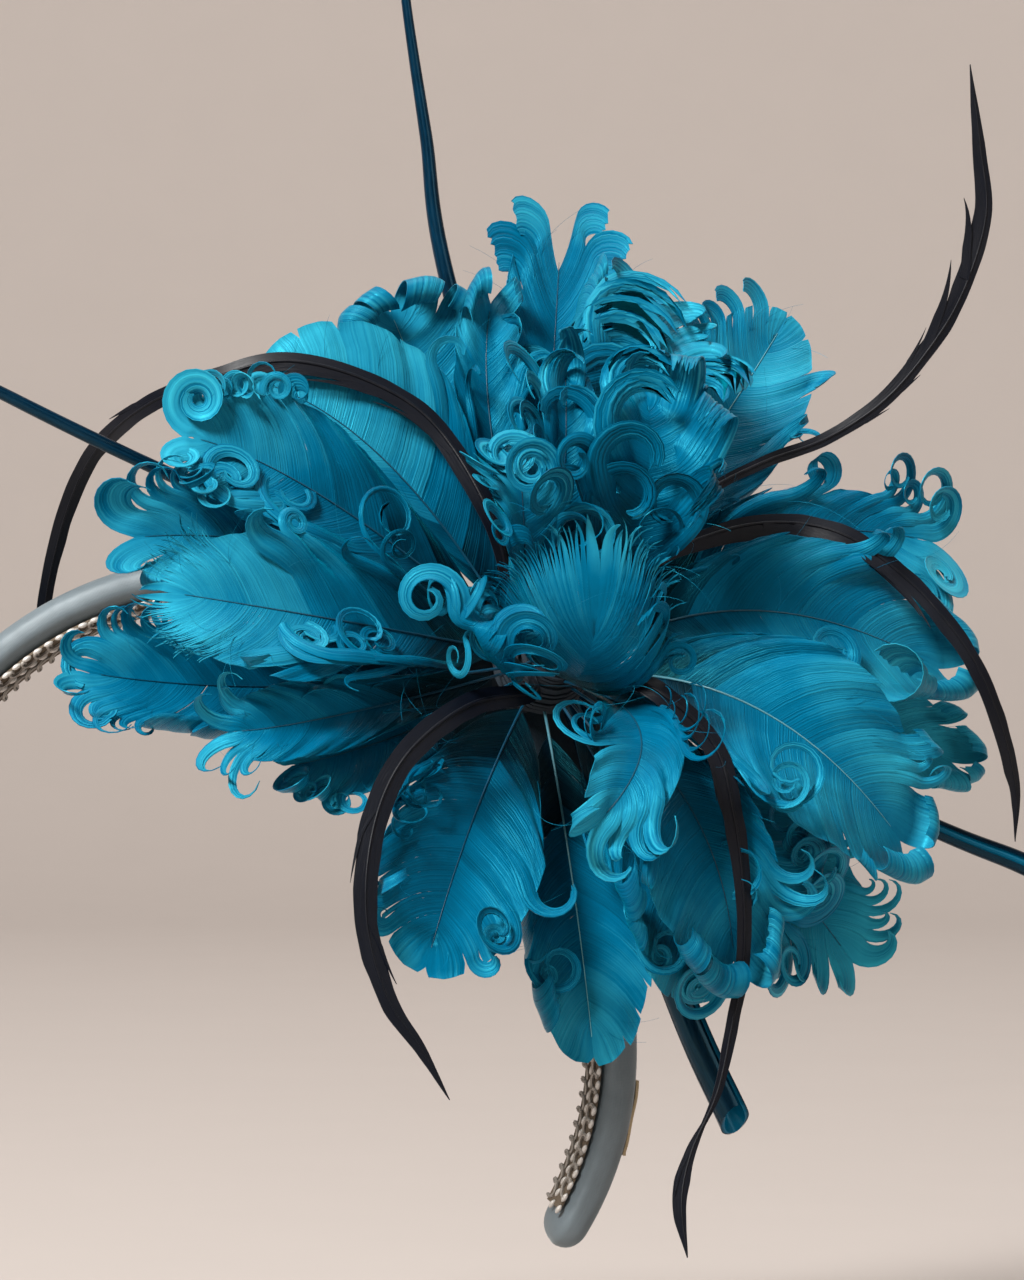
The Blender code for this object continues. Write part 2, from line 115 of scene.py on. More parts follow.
class Bench:
    """A material's node tree under construction."""

    def __init__(self, name: str) -> None:
        """Start a material with a Principled shader and an output.

        Args:
            name: The material's name.
        """
        self.material = bpy.data.materials.new(name)
        self.material.use_nodes = True
        self.tree = self.material.node_tree
        self.tree.nodes.clear()
        self.shader = self.tree.nodes.new("ShaderNodeBsdfPrincipled")
        self.output = self.tree.nodes.new("ShaderNodeOutputMaterial")
        self.tree.links.new(self.shader.outputs[0], self.output.inputs["Surface"])

    def node(self, kind: str, settings: dict | None = None, inputs: dict | None = None) -> bpy.types.Node:
        """Add any node.

        Args:
            kind: The node's type, without the ShaderNode in front.
            settings: Its properties, set first. A key "stops" gives a colour ramp's stops.
            inputs: Socket names or places, with a value or a Signal each.

        Returns:
            The node.
        """
        node = self.tree.nodes.new("ShaderNode" + kind)
        for key, value in (settings or {}).items():
            if key == "stops":
                self._stops(node.color_ramp, value)
            else:
                setattr(node, key, value)
        for key, value in (inputs or {}).items():
            self.feed(node.inputs[key], value)
        return node

    @staticmethod
    def _stops(ramp: bpy.types.ColorRamp, stops: Sequence[tuple[float, Colour]]) -> None:
        """Set a ramp's stops.

        Args:
            ramp: The ramp.
            stops: Places from 0 to 1, with a colour each.
        """
        while len(ramp.elements) < len(stops):
            ramp.elements.new(0.5)
        for element, (place, colour) in zip(ramp.elements, stops):
            element.position = place
            element.color = (*colour, 1.0)

    def feed(self, socket: bpy.types.NodeSocket, value: "Signal | float | Sequence[float]") -> None:
        """Link a signal to a socket, or set the socket's value.

        Args:
            socket: The input socket.
            value: A signal, or the socket's new value.
        """
        if isinstance(value, Signal):
            self.tree.links.new(value.socket, socket)
        elif isinstance(value, tuple) and len(value) == 3 and socket.type == "RGBA":
            socket.default_value = (*value, 1.0)
        else:
            socket.default_value = value

    def math(self, operation: str, *values: "Signal | float") -> Signal:
        """Add a Math node."""
        node = self.node("Math", {"operation": operation}, dict(enumerate(values)))
        return Signal(self, node.outputs[0])

    def mix(self, share: Signal, first: "Signal | Colour", second: "Signal | Colour") -> Signal:
        """Mix two colours. The numbered sockets are the factor, colour A and colour B."""
        node = self.node("Mix", {"data_type": "RGBA"}, {0: share, 6: first, 7: second})
        return Signal(self, node.outputs[2])

    def ramp(self, value: Signal, stops: Sequence[tuple[float, Colour]]) -> Signal:
        """Turn a number into a colour through a ramp."""
        return Signal(self, self.node("ValToRGB", {"stops": stops}, {"Fac": value}).outputs["Color"])

    def attribute(self, name: str) -> list[Signal]:
        """Read a colour attribute.

        Args:
            name: The attribute's name.

        Returns:
            Its red, green, blue and alpha.
        """
        source = self.node("Attribute", {"attribute_name": name})
        parts = self.node("SeparateColor", None, {"Color": Signal(self, source.outputs["Color"])})
        return [Signal(self, part) for part in parts.outputs] + [Signal(self, source.outputs["Alpha"])]

    def layout(self, stretch: Triple, shift: float = 0.0) -> Signal:
        """Scale the UV coordinates, whose own unit is a millimetre.

        Args:
            stretch: Factors along the three axes.
            shift: Added along each of them.

        Returns:
            The coordinates.
        """
        source = self.node("UVMap", {"uv_map": "lay"})
        scaled = self.node("Mapping", None, {
            "Vector": Signal(self, source.outputs[0]),
            "Scale": stretch,
            "Location": (shift, shift, shift),
        })
        return Signal(self, scaled.outputs[0])

    def place(self, stretch: float) -> Signal:
        """Scale the object coordinates, counted in millimetres.

        Args:
            stretch: The factor along every axis.

        Returns:
            The coordinates.
        """
        source = self.node("TexCoord")
        scaled = self.node("Mapping", None, {
            "Vector": Signal(self, source.outputs["Object"]),
            "Scale": (stretch / MM, stretch / MM, stretch / MM),
        })
        return Signal(self, scaled.outputs[0])

    def noise(self, vector: Signal, detail: float = 2.0, distortion: float = 0.0) -> Signal:
        """Add a noise texture.

        Args:
            vector: Its coordinates, already scaled.
            detail: How many finer layers it has.
            distortion: How much it swirls.

        Returns:
            A value from 0 to 1.
        """
        node = self.node("TexNoise", None, {
            "Vector": vector, "Scale": 1.0, "Detail": detail, "Distortion": distortion,
        })
        return Signal(self, node.outputs["Fac"])

    def bump(self, height: Signal, strength: float, distance: float) -> None:
        """Feed the shader's normal from a height. The distance is in millimetres."""
        node = self.node("Bump", None, {"Height": height, "Strength": strength, "Distance": distance * MM})
        self.feed(self.shader.inputs["Normal"], Signal(self, node.outputs[0]))

    def set(self, **values: "Signal | float | Colour") -> Material:
        """Feed the shader's sockets.

        Args:
            **values: Values or signals by socket name, with underscores for spaces.

        Returns:
            The material.
        """
        for key, value in values.items():
            self.feed(self.shader.inputs[key.replace("_", " ").title().replace("Ior", "IOR")], value)
        return self.material


# Finishes


@dataclass(frozen=True)
class VaneFinish:
    """Dyed feather: fine barb lines, a deeper back, painted shade at the root, paler margins and tips.

    A light from 0 to 1 runs through the stops from the deep colour, the painted shade of the throat, over
    the body's to the pale one. The fields that end in light say how much each thing adds to it. The barb
    and reach terms paint it darker at the shaft and root, painted shade, and paler out at the margins and
    tips, partly painted highlight.
    """

    name: str = "dyed_vane"
    # The first stop is the painted shade colour of the throat.
    deep_shade: Colour = (0.0, 0.0005, 0.005)
    body: Colour = (0.0, 0.112, 0.222)
    pale: Colour = (0.03, 0.365, 0.50)
    back: Colour = (0.0, 0.075, 0.155)
    stops: Triple = (0.06, 0.48, 1.0)
    barbs: Triple = (2.2, 0.03, 1.0)
    bundles: Triple = (0.9, 0.03, 1.0)
    blotches_per_mm: float = 0.06
    floor_light: float = 0.04
    barb_light: float = 0.14
    tone_light: float = 0.5
    reach_light: float = 0.36
    blotch_light: float = 0.6
    bundle_light: float = 0.6
    # Painted shade at the root: how far up the shaft it reaches, how deep it is, and how much it eases out
    # along the barb.
    root_shade_until: float = 0.38
    root_shade_depth: float = 1.7
    root_shade_eased: float = 1.5
    back_share: float = 0.45
    roughness: float = 0.34
    sheen: float = 0.2

    def material(self) -> Material:
        """Build the material.

        Returns:
            The material. Its tint attribute holds the place along the barb, the feather's tone, the side
            and the place along the shaft.
        """
        bench = Bench(self.name)
        along, tone, side, reach = bench.attribute("tint")
        fine = bench.noise(bench.layout(self.barbs), 4.0, 0.1)
        broad = bench.noise(bench.layout(self.bundles, 7.0))
        blotch = bench.noise(bench.place(self.blotches_per_mm), 4.0)
        inner = bench.math("MINIMUM", along, 1.0)
        free = bench.math("MINIMUM", along - inner, 1.0)
        # Painted shade: the colour darkens towards the shaft near the root, where the feathers crowd the
        # throat.
        root_shade = bench.math("MAXIMUM", self.root_shade_until - reach, 0.0)
        root_shade = root_shade * (self.root_shade_depth - inner * self.root_shade_eased)
        # Darker at the shaft and root, painted shade, and paler at the margins and tips, partly painted
        # highlight.
        light = inner * self.barb_light + tone * self.tone_light + reach * self.reach_light
        light = light - self.floor_light - root_shade
        lines = (fine - 0.5) * (free * 1.1 + inner * 0.15 + 0.28)
        lines = lines + (broad - 0.5) * free * self.bundle_light
        light = light + lines + (blotch - 0.5) * self.blotch_light
        colour = bench.ramp(light, tuple(zip(self.stops, (self.deep_shade, self.body, self.pale))))
        colour = bench.mix(side * self.back_share, colour, self.back)
        bench.bump(fine, 1.0, 0.3)
        return bench.set(
            base_color=colour, roughness=self.roughness, sheen_weight=self.sheen,
            sheen_roughness=0.35, sheen_tint=(0.0, 0.7, 0.95), specular_ior_level=0.32,
            specular_tint=(0.05, 0.8, 1.0),
        )


@dataclass(frozen=True)
class RachisFinish:
    """The pale, horny shaft of a dyed feather."""

    name: str = "feather_shaft"
    pale: Colour = (0.22, 0.60, 0.66)
    dyed: Colour = (0.0, 0.045, 0.09)
    streaks: Triple = (3.0, 0.4, 1.0)

    def material(self) -> Material:
        """Build the material.

        Returns:
            The material. Its tint attribute holds the place along the shaft and how pale that shaft is.
        """
        bench = Bench(self.name)
        along, tone, _, _ = bench.attribute("tint")
        streak = bench.noise(bench.layout(self.streaks))
        colour = bench.mix((along * 0.8 + streak * 0.4) * tone, self.dyed, self.pale)
        bench.bump(streak, 0.3, 0.05)
        return bench.set(base_color=colour, roughness=0.35, specular_ior_level=0.4)


@dataclass(frozen=True)
class BladeFinish:
    """Near-black dyed tail feather with a brown-grey sheen painted into its colour in patches."""

    name: str = "dark_blade"
    dark: Colour = (0.0006, 0.0010, 0.003)
    # The colour of the painted brown-grey sheen patches.
    painted_sheen: Colour = (0.010, 0.010, 0.012)
    blue: Colour = (0.001, 0.006, 0.020)
    barbs: Triple = (0.3, 3.2, 1.0)
    patches: Triple = (0.06, 0.3, 1.0)

    def material(self) -> Material:
        """Build the material.

        Returns:
            The material. Its tint attribute holds the share of painted sheen second and the side third.
        """
        bench = Bench(self.name)
        _, tone, side, _ = bench.attribute("tint")
        fine = bench.noise(bench.layout(self.barbs), 3.0, 0.3)
        broad = bench.noise(bench.layout(self.patches, 3.0))
        # Painted sheen: brown-grey patches mixed into the near-black.
        colour = bench.mix((broad - 0.35) * tone * 2.0, self.dark, self.painted_sheen)
        colour = bench.mix(side * 0.5 + fine * 0.3, colour, self.blue)
        bench.bump(fine, 0.5, 0.1)
        return bench.set(
            base_color=colour, roughness=0.34 + broad * 0.2, sheen_weight=0.05, sheen_roughness=0.35,
            sheen_tint=(0.7, 0.8, 1.0), specular_ior_level=0.22,
        )


@dataclass(frozen=True)
class QuillFinish:
    """Glossy stripped shaft with a turquoise groove, painted lighter along one side."""

    name: str = "glossy_quill"
    dark: Colour = (0.0001, 0.001, 0.003)
    dyed: Colour = (0.0008, 0.028, 0.065)
    groove: Colour = (0.0, 0.15, 0.28)
    streaks: Triple = (0.25, 2.5, 1.0)
    blotches: Triple = (0.05, 0.2, 1.0)

    def material(self) -> Material:
        """Build the material.

        Returns:
            The material. Its tint attribute holds a painted highlight along one side second and the
            groove's brightness third.
        """
        bench = Bench(self.name)
        _, tone, groove, _ = bench.attribute("tint")
        streak = bench.noise(bench.layout(self.streaks), 3.0, 0.2)
        blotch = bench.noise(bench.layout(self.blotches, 5.0))
        # Painted light: tone lightens one side of the quill, and the rest stays darker.
        colour = bench.mix((streak + blotch - 0.8) * 0.8 + tone * 0.35, self.dark, self.dyed)
        colour = bench.mix(groove * 0.8, colour, self.groove)
        bench.bump(streak, 0.25, 0.08)
        return bench.set(
            base_color=colour, roughness=0.12 + blotch * 0.12, specular_ior_level=0.35,
            specular_tint=(0.35, 0.8, 1.0),
        )


@dataclass(frozen=True)
class SatinFinish:
    """Silver-grey satin with a fine weave and a soft pearl sheen."""

    name: str = "silver_satin"
    shade: Colour = (0.072, 0.092, 0.104)
    light: Colour = (0.20, 0.245, 0.27)
    weave_per_mm: float = 1.1
    clouds: Triple = (0.12, 0.2, 1.0)
    slubs: Triple = (0.5, 6.0, 1.0)

    def material(self) -> Material:
        """Build the material.

        Returns:
            The material.
        """
        bench = Bench(self.name)
        weave = bench.node("TexWave", {"wave_type": "BANDS", "bands_direction": "X"}, {
            "Vector": bench.layout((1.0, 1.0, 1.0)), "Scale": self.weave_per_mm,
            "Distortion": 0.6, "Detail": 1.0,
        })
        thread = Signal(bench, weave.outputs["Fac"])
        cloud = bench.noise(bench.layout(self.clouds), 3.0)
        slub = bench.noise(bench.layout(self.slubs, 2.0))
        colour = bench.mix(cloud * 0.55 + slub * 0.35 + thread * 0.1, self.shade, self.light)
        bench.bump(thread * 0.3 + slub * 0.7, 0.25, 0.08)
        return bench.set(
            base_color=colour, roughness=0.40 + slub * 0.2, metallic=0.1, sheen_weight=0.2,
            sheen_roughness=0.3, sheen_tint=(0.8, 0.95, 1.0), specular_ior_level=0.4,
        )


@dataclass(frozen=True)
class MetalThreadFinish:
    """Silver metal thread of a scroll braid, dulled to brown in its hollows."""

    name: str = "metal_thread"
    bright: Colour = (0.68, 0.65, 0.61)
    dull: Colour = (0.10, 0.075, 0.05)
    strands: Triple = (6.0, 1.2, 1.0)

    def material(self) -> Material:
        """Build the material.

        Returns:
            The material. Its tint attribute holds the brightness second.
        """
        bench = Bench(self.name)
        _, tone, _, _ = bench.attribute("tint")
        strand = bench.noise(bench.layout(self.strands), 2.0, 0.4)
        colour = bench.mix(tone * 0.6 + strand * 0.5, self.dull, self.bright)
        bench.bump(strand, 0.6, 0.08)
        return bench.set(base_color=colour, metallic=0.35, roughness=0.42 + strand * 0.2)


@dataclass(frozen=True)
class ClothFinish:
    """A dull cloth, thread or tape in two shades, with a grain of its own across and along."""

    name: str
    dark: Colour
    light: Colour
    grain: Pair = (3.0, 3.0)
    roughness: float = 0.85
    metallic: float = 0.0
    relief: float = 0.12
    fuzz: float = 0.02
    patches_per_mm: float = 0.15

    def material(self) -> Material:
        """Build the material.

        Returns:
            The material.
        """
        bench = Bench(self.name)
        fuzz = bench.noise(bench.layout((*self.grain, 1.0)), 4.0, 0.5)
        patch = bench.noise(bench.place(self.patches_per_mm))
        colour = bench.mix(fuzz * 0.7 + patch * 0.4, self.dark, self.light)
        bench.bump(fuzz, 0.6, self.relief)
        return bench.set(
            base_color=colour, roughness=self.roughness, metallic=self.metallic, sheen_weight=self.fuzz,
        )


NAVY_THREAD = ClothFinish("navy_thread", (0.0, 0.002, 0.006), (0.0, 0.012, 0.024), (1.0, 5.0), 0.8)
NAVY_FELT = ClothFinish("navy_felt", (0.001, 0.006, 0.014), (0.004, 0.022, 0.035), (2.0, 2.0))
BRAID_GROUND = ClothFinish("braid_ground", (0.045, 0.032, 0.02), (0.16, 0.12, 0.08), (2.0, 5.0), 0.8)
GOLD_TAPE = ClothFinish("gold_tape", (0.35, 0.25, 0.13), (0.62, 0.48, 0.30), (4.0, 4.0), 0.5, 0.2)
# The shaft's second colour is its painted sheen.
BLADE_SHAFT = BladeFinish("blade_shaft", (0.001, 0.001, 0.002), (0.014, 0.013, 0.014))


@dataclass(frozen=True)
class StudioFinish:
    """The pale, matt studio ground."""

    name: str = "studio_ground"
    pale: Colour = (0.48, 0.430, 0.400)
    mottle_per_mm: float = 0.02
    darker: float = 0.97

    def material(self) -> Material:
        """Build the material.

        Returns:
            The material.
        """
        bench = Bench(self.name)
        mottle = bench.noise(bench.place(self.mottle_per_mm))
        darker = tuple(part * self.darker for part in self.pale)
        return bench.set(base_color=bench.mix(mottle, self.pale, darker), roughness=0.95)


# Mesh stock


class Stock:
    """Collects vertices, quads, UVs and tints of one piece and makes its mesh.

    A quad whose second and third corners are the same is a triangle.
    """

    section_up = np.array([0.31, -0.89, 0.33])
    sharp_degrees = 70.0

    def __init__(self) -> None:
        """Start empty."""
        self.points: list[Grid] = []
        self.quads: list[Grid] = []
        self.lays: list[Grid] = []
        self.tints: list[Grid] = []
        self.slots: list[Grid] = []
        self.count = 0

    def add(self, points: Grid, quads: Grid, lays: Grid, tints: Grid, slot: int = 0) -> None:
        """Add vertices with what belongs to them.

        Args:
            points: Places in millimetres.
            quads: Four vertex numbers each, counted from this call's first vertex.
            lays: UVs, one for each vertex.
            tints: Attribute values, four for each vertex.
            slot: Material place.
        """
        self.points.append(points)
        self.quads.append(quads + self.count)
        self.lays.append(lays)
        self.tints.append(tints)
        self.slots.append(np.full(len(quads), slot))
        self.count += len(points)

    def add_shells(self, grids: Grid, thickness: "float | Grid", lays: Grid, tints: Grid,
                   slot: int = 0) -> None:
        """Add thin closed leaves.

        Args:
            grids: Points with shape (leaves, rows, columns, 3).
            thickness: Leaf thickness in mm, one number or one for each point.
            lays: UVs with shape (leaves, rows, columns, 2).
            tints: Attribute values with shape (leaves, rows, columns, 4). The third is the side.
            slot: Material place.
        """
        leaves, rows, columns = grids.shape[:3]
        normal = unit(np.cross(np.gradient(grids, axis=1), np.gradient(grids, axis=2)))
        half = normal * np.asarray(thickness / 2)[..., None]
        front, back = grids + half, grids - half
        points = np.stack([front, back], axis=1).reshape(-1, 3)
        back_tints = tints.copy()
        back_tints[..., 2] = 1.0
        both = np.stack([tints, back_tints], axis=1).reshape(-1, 4)
        lay = np.stack([lays, lays], axis=1).reshape(-1, 2)
        index = np.arange(rows * columns).reshape(rows, columns)
        corners = (index[:-1, :-1], index[1:, :-1], index[1:, 1:], index[:-1, 1:])
        top = np.stack([corner.ravel() for corner in corners], axis=1)
        under = top[:, ::-1] + rows * columns
        ring = np.concatenate([index[0, :-1], index[:-1, -1], index[-1, :0:-1], index[:0:-1, 0]])
        following = np.roll(ring, -1)
        rim = np.stack([ring, following, following + rows * columns, ring + rows * columns], axis=1)
        leaf = np.concatenate([top, under, rim])
        shift = np.arange(leaves)[:, None, None] * 2 * rows * columns
        self.add(points, (leaf[None] + shift).reshape(-1, 4), lay, both, slot)

    def add_tubes(self, lines: Grid, radii: Grid, sides: int, tints: Grid, slot: int = 0,
                  flat: float = 1.0) -> None:
        """Add closed tubes along lines.

        Args:
            lines: Points with shape (tubes, stations, 3).
            radii: Radii with shape (tubes, stations).
            sides: Points round each tube.
            tints: Attribute values with shape (tubes, stations, 4).
            slot: Material place.
            flat: Thickness of the section as a share of its width.
        """
        tubes, stations = lines.shape[:2]
        along = unit(np.gradient(lines, axis=1))
        side = unit(np.cross(along, self.section_up))
        face = np.cross(side, along)
        turn = 2 * np.pi * np.arange(sides) / sides
        offset = (side[:, :, None] * np.cos(turn)[None, None, :, None]
                  + face[:, :, None] * np.sin(turn)[None, None, :, None] * flat)
        rings = lines[:, :, None] + offset * radii[:, :, None, None]
        ends = np.stack([lines[:, 0], lines[:, -1]], axis=1)
        points = np.concatenate([rings.reshape(tubes, -1, 3), ends], axis=1)
        length = np.cumsum(np.linalg.norm(np.diff(lines, axis=1, prepend=lines[:, :1]), axis=-1), axis=1)
        half_turns = np.broadcast_to((turn / np.pi)[None, None], (tubes, stations, sides))
        around = half_turns * radii[:, :, None] * 3
        lay = np.stack([around, np.broadcast_to(length[:, :, None], around.shape)], axis=-1)
        lay = np.concatenate([lay.reshape(tubes, -1, 2), np.zeros((tubes, 2, 2))], axis=1)
        tint = np.repeat(tints[:, :, None], sides, axis=2).reshape(tubes, -1, 4)
        tint = np.concatenate([tint, tints[:, :1], tints[:, -1:]], axis=1)
        tube = self.capped(stations, sides)
        shift = np.arange(tubes)[:, None, None] * (stations * sides + 2)
        self.add(points.reshape(-1, 3), (tube[None] + shift).reshape(-1, 4), lay.reshape(-1, 2),
                 tint.reshape(-1, 4), slot)

    @staticmethod
    def capped(stations: int, sides: int) -> Grid:
        """Number the quads of a closed tube, whose two end middles come after its rings.

        Args:
            stations: How many rings it has.
            sides: How many points a ring has.

        Returns:
            The quads, those of the ends as triangles.
        """
        index = np.arange(stations * sides).reshape(stations, sides)
        beside = np.roll(index, -1, axis=1)
        body = np.stack([index[:-1], beside[:-1], beside[1:], index[1:]], axis=-1).reshape(-1, 4)
        first, last = stations * sides, stations * sides + 1
        start = np.stack([index[0], np.full(sides, first), np.full(sides, first), beside[0]], axis=1)
        stop = np.stack([beside[-1], np.full(sides, last), np.full(sides, last), index[-1]], axis=1)
        return np.concatenate([body, start, stop])

    def add_loops(self, rings: Grid, lays: Grid, tints: Grid) -> None:
        """Add a closed form with capped ends.

        Args:
            rings: Points with shape (rings, sides, 3).
            lays: UVs with shape (rings, sides, 2).
            tints: Attribute values with shape (rings, sides, 4).
        """
        ends = np.stack([rings[0].mean(axis=0), rings[-1].mean(axis=0)])
        points = np.concatenate([rings.reshape(-1, 3), ends])
        lay = np.concatenate([lays.reshape(-1, 2), lays[0, :1], lays[-1, :1]])
        tint = np.concatenate([tints.reshape(-1, 4), tints[0, :1], tints[-1, :1]])
        self.add(points, self.capped(*rings.shape[:2]), lay, tint)

    def piece(self, name: str, materials: Sequence[Material]) -> Piece:
        """Make the object.

        Args:
            name: The piece's name.
            materials: Its materials in slot order.

        Returns:
            The linked object.
        """
        points = np.concatenate(self.points) * MM
        quads = np.concatenate(self.quads)
        slots = np.concatenate(self.slots)
        triangle = quads[:, 1] == quads[:, 2]
        faces = [quads[~triangle], quads[triangle][:, [0, 1, 3]]]
        corners = np.concatenate([part.ravel() for part in faces]).astype(np.int32)
        totals = np.concatenate([np.full(len(faces[0]), 4), np.full(len(faces[1]), 3)]).astype(np.int32)
        starts = (np.cumsum(totals) - totals).astype(np.int32)
        order = np.concatenate([slots[~triangle], slots[triangle]]).astype(np.int32)
        mesh = bpy.data.meshes.new(name)
        mesh.vertices.add(len(points))
        mesh.vertices.foreach_set("co", points.astype(np.float32).ravel())
        mesh.loops.add(len(corners))
        mesh.loops.foreach_set("vertex_index", corners)
        mesh.polygons.add(len(totals))
        mesh.polygons.foreach_set("loop_start", starts)
        mesh.polygons.foreach_set("loop_total", totals)
        mesh.polygons.foreach_set("material_index", order)
        mesh.polygons.foreach_set("use_smooth", np.ones(len(totals), bool))
        mesh.update(calc_edges=True)
        lay = mesh.uv_layers.new(name="lay")
        lay.data.foreach_set("uv", np.concatenate(self.lays)[corners].astype(np.float32).ravel())
        tint = mesh.color_attributes.new("tint", "FLOAT_COLOR", "POINT")
        tint.data.foreach_set("color", np.concatenate(self.tints).astype(np.float32).ravel())
        mesh.set_sharp_from_angle(angle=math.radians(self.sharp_degrees))
        piece = bpy.data.objects.new(name, mesh)
        for material in materials:
            mesh.materials.append(material)
        bpy.context.scene.collection.objects.link(piece)
        return piece


def put(piece: Piece, node: str) -> None:
    """Let a piece ride on the one body, stand for its node and log it.

    Args:
        piece: The piece.
        node: The CAD node that it stands for.
    """
    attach(piece, "root")
    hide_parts(node)
    LOG.info("%s: %d faces for %s", piece.name, len(piece.data.polygons), node)


# Flower frame


class Flower:
    """The flower's frame on the band, and the stem that its roots start from."""

    seat = np.array([54.6, 0.0, -19.3])
    face = unit(np.array([0.33, -0.89, 0.31]))
    upward = unit(np.array([0.0, 0.0, 1.0]) - face[2] * face)
    sideways = np.cross(upward, face)
    stem = ((7.8, 5.0), (20.4, 5.0), (21.2, 9.2), (24.5, 9.2), (28.0, 7.8), (32.0, 5.6), (35.0, 2.6))
    root_room = 0.9

    @classmethod
    def point(cls, clock: float, reach: float, lift: float) -> Grid:
        """Turn flower coordinates into a point.

        Args:
            clock: Degrees anticlockwise from the flower's right.
            reach: Distance from the flower's axis.
            lift: Height along the axis.

        Returns:
            The point in the row frame, in mm.
        """
        turn = math.radians(clock)
        outward = cls.sideways * math.cos(turn) + cls.upward * math.sin(turn)
        return cls.seat + outward * reach + cls.face * lift

    @classmethod
    def root(cls, clock: float, lift: float) -> Grid:
        """Where a feather or blade starts, just outside the stem."""
        radius = float(np.interp(lift, *zip(*cls.stem)))
        return cls.point(clock, radius + cls.root_room, lift)


def smooth_route(points: Sequence[Grid], stations: int) -> Grid:
    """Read points from a Catmull-Rom curve through the route's own points.

    Args:
        points: The route's points.
        stations: How many points to read, evenly spread over the route's spans.

    Returns:
        The points that were read.
    """
    route = np.asarray(points, float)
    padded = np.concatenate([[2 * route[0] - route[1]], route, [2 * route[-1] - route[-2]]])
    place = np.linspace(0, len(route) - 1, stations)
    span = np.minimum(place.astype(int), len(route) - 2)
    part = (place - span)[:, None]
    before, start, end, after = (padded[span + step] for step in range(4))
    bend = 2 * before - 5 * start + 4 * end - after
    swing = 3 * start - before - 3 * end + after
    return 0.5 * (2 * start + (end - before) * part + bend * part ** 2 + swing * part ** 3)


# Feathers


@dataclass(frozen=True)
class Lock:
    """A group of barbs that curls together. Lengths are in mm, angles in degrees.

    A lock sits at a share of the feather's length and parts from the vane at the share split of its
    barbs. It rises a little and swings in the vane's plane by sweep, and then curls forward. Twist turns
    the curl's plane: near 90 it curls in the vane's plane, towards the root when positive and towards
    the tip when negative. Tighten is the last radius as a share of the first, point the last width as a
    share of the first, jag how uneven the end is, and calm how much of the barbs runs on uncurled.
    """

    share: float
    width: float
    split: float
    radius: float
    turns: float
    twist: float
    sweep: float = 0.0
    rise: float = 8.0
    tighten: float = 0.4
    point: float = 0.3
    jag: float = 0.05
    calm: float = 1.0


@dataclass(frozen=True)
class CurlForm:
    """How a margin's locks are shaped. Pairs are the least and the most.

    Loose says how much neighbouring locks differ, from 0 to 1.
    """

    width: Pair
    split: Pair
    radius: Pair
    turns: Pair
    tighten: float
    twist: Pair
    sweep: Pair
    rise: Pair
    point: float
    jag: float
    loose: float
    calm: float = 1.0


class Curl(Enum):
    """The margins and tips seen on the curled feathers."""

    PLAIN = CurlForm(
        width=(7, 16), split=(0.97, 1.0), radius=(6, 10), turns=(0.01, 0.05), tighten=0.8,
        twist=(-6, 6), sweep=(0, 2), rise=(0, 2), point=0.9, jag=0.04, loose=0.15,
    )
    ROLL = CurlForm(
        width=(7, 15), split=(0.74, 0.90), radius=(2.8, 4.6), turns=(0.40, 0.90), tighten=0.6,
        twist=(0, 18), sweep=(-3, 4), rise=(-2, 3), point=0.7, jag=0.06, loose=0.2,
    )
    RIBBON = CurlForm(
        width=(3, 8), split=(0.30, 0.60), radius=(4.5, 8), turns=(0.35, 0.75), tighten=0.45,
        twist=(20, 75), sweep=(0, 16), rise=(4, 14), point=0.3, jag=0.06, loose=0.5,
    )
    SWIRL = CurlForm(
        width=(4, 8), split=(0.35, 0.62), radius=(4.4, 6.2), turns=(1.0, 1.5), tighten=0.32,
        twist=(60, 88), sweep=(-5, 10), rise=(4, 12), point=0.3, jag=0.05, loose=0.4,
    )
    RINGLET = CurlForm(
        width=(2, 5), split=(0.50, 0.8), radius=(2.2, 4.4), turns=(0.8, 1.5), tighten=0.5,
        twist=(35, 88), sweep=(-6, 10), rise=(2, 14), point=0.3, jag=0.04, loose=0.8,
    )
    HOOK = CurlForm(
        width=(4, 8), split=(0.55, 0.80), radius=(3.8, 6.0), turns=(0.35, 0.7), tighten=0.5,
        twist=(40, 80), sweep=(-4, 6), rise=(0, 6), point=0.12, jag=0.05, loose=0.4,
    )
    WRAP = CurlForm(
        width=(6, 10), split=(0.3, 0.55), radius=(5, 7.5), turns=(0.4, 0.6), tighten=0.7,
        twist=(-30, 30), sweep=(-6, 6), rise=(10, 22), point=0.35, jag=0.2, loose=0.4, calm=0.5,
    )
    FRINGE = CurlForm(
        width=(0.3, 0.9), split=(0.76, 0.95), radius=(4, 7), turns=(0.08, 0.24), tighten=0.9,
        twist=(-50, 50), sweep=(-6, 6), rise=(-4, 8), point=0.2, jag=0.25, loose=0.9,
    )


@dataclass(frozen=True)
class Sprig:
    """One feather: its line in the flower frame, its vane, and the curls of its two sides and tip.

    Root is a clock and a lift, mid and tip are a clock, a reach and a lift. Anti is the anticlockwise
    margin and clock the other one. Tone makes the feather paler, and darker below 0; the high tones of the
    back feathers are painted light, standing for light shining through them. Shaft makes the rachis paler,
    and a shaft below 0 leaves it out. Fork parts the two sides at the tip. Finish is the share of the
    length where the last barbs start and lead how far ahead the first ones reach. Facing is -1 for a
    feather turned round, and skew moves width from one side to the other. The heroes are locks that the
    photograph shows one by one.
    """

    name: str
    root: Pair
    mid: Triple
    tip: Triple
    width: float
    cup: float
    anti: Curl
    clock: Curl
    end: Curl
    tone: float = 0.0
    shaft: float = 0.04
    fork: float = 0.0
    finish: float = 0.93
    lead: float = 0.32
    facing: float = 1.0
    skew: float = 0.0
    anti_heroes: tuple[Lock, ...] = ()
    clock_heroes: tuple[Lock, ...] = ()


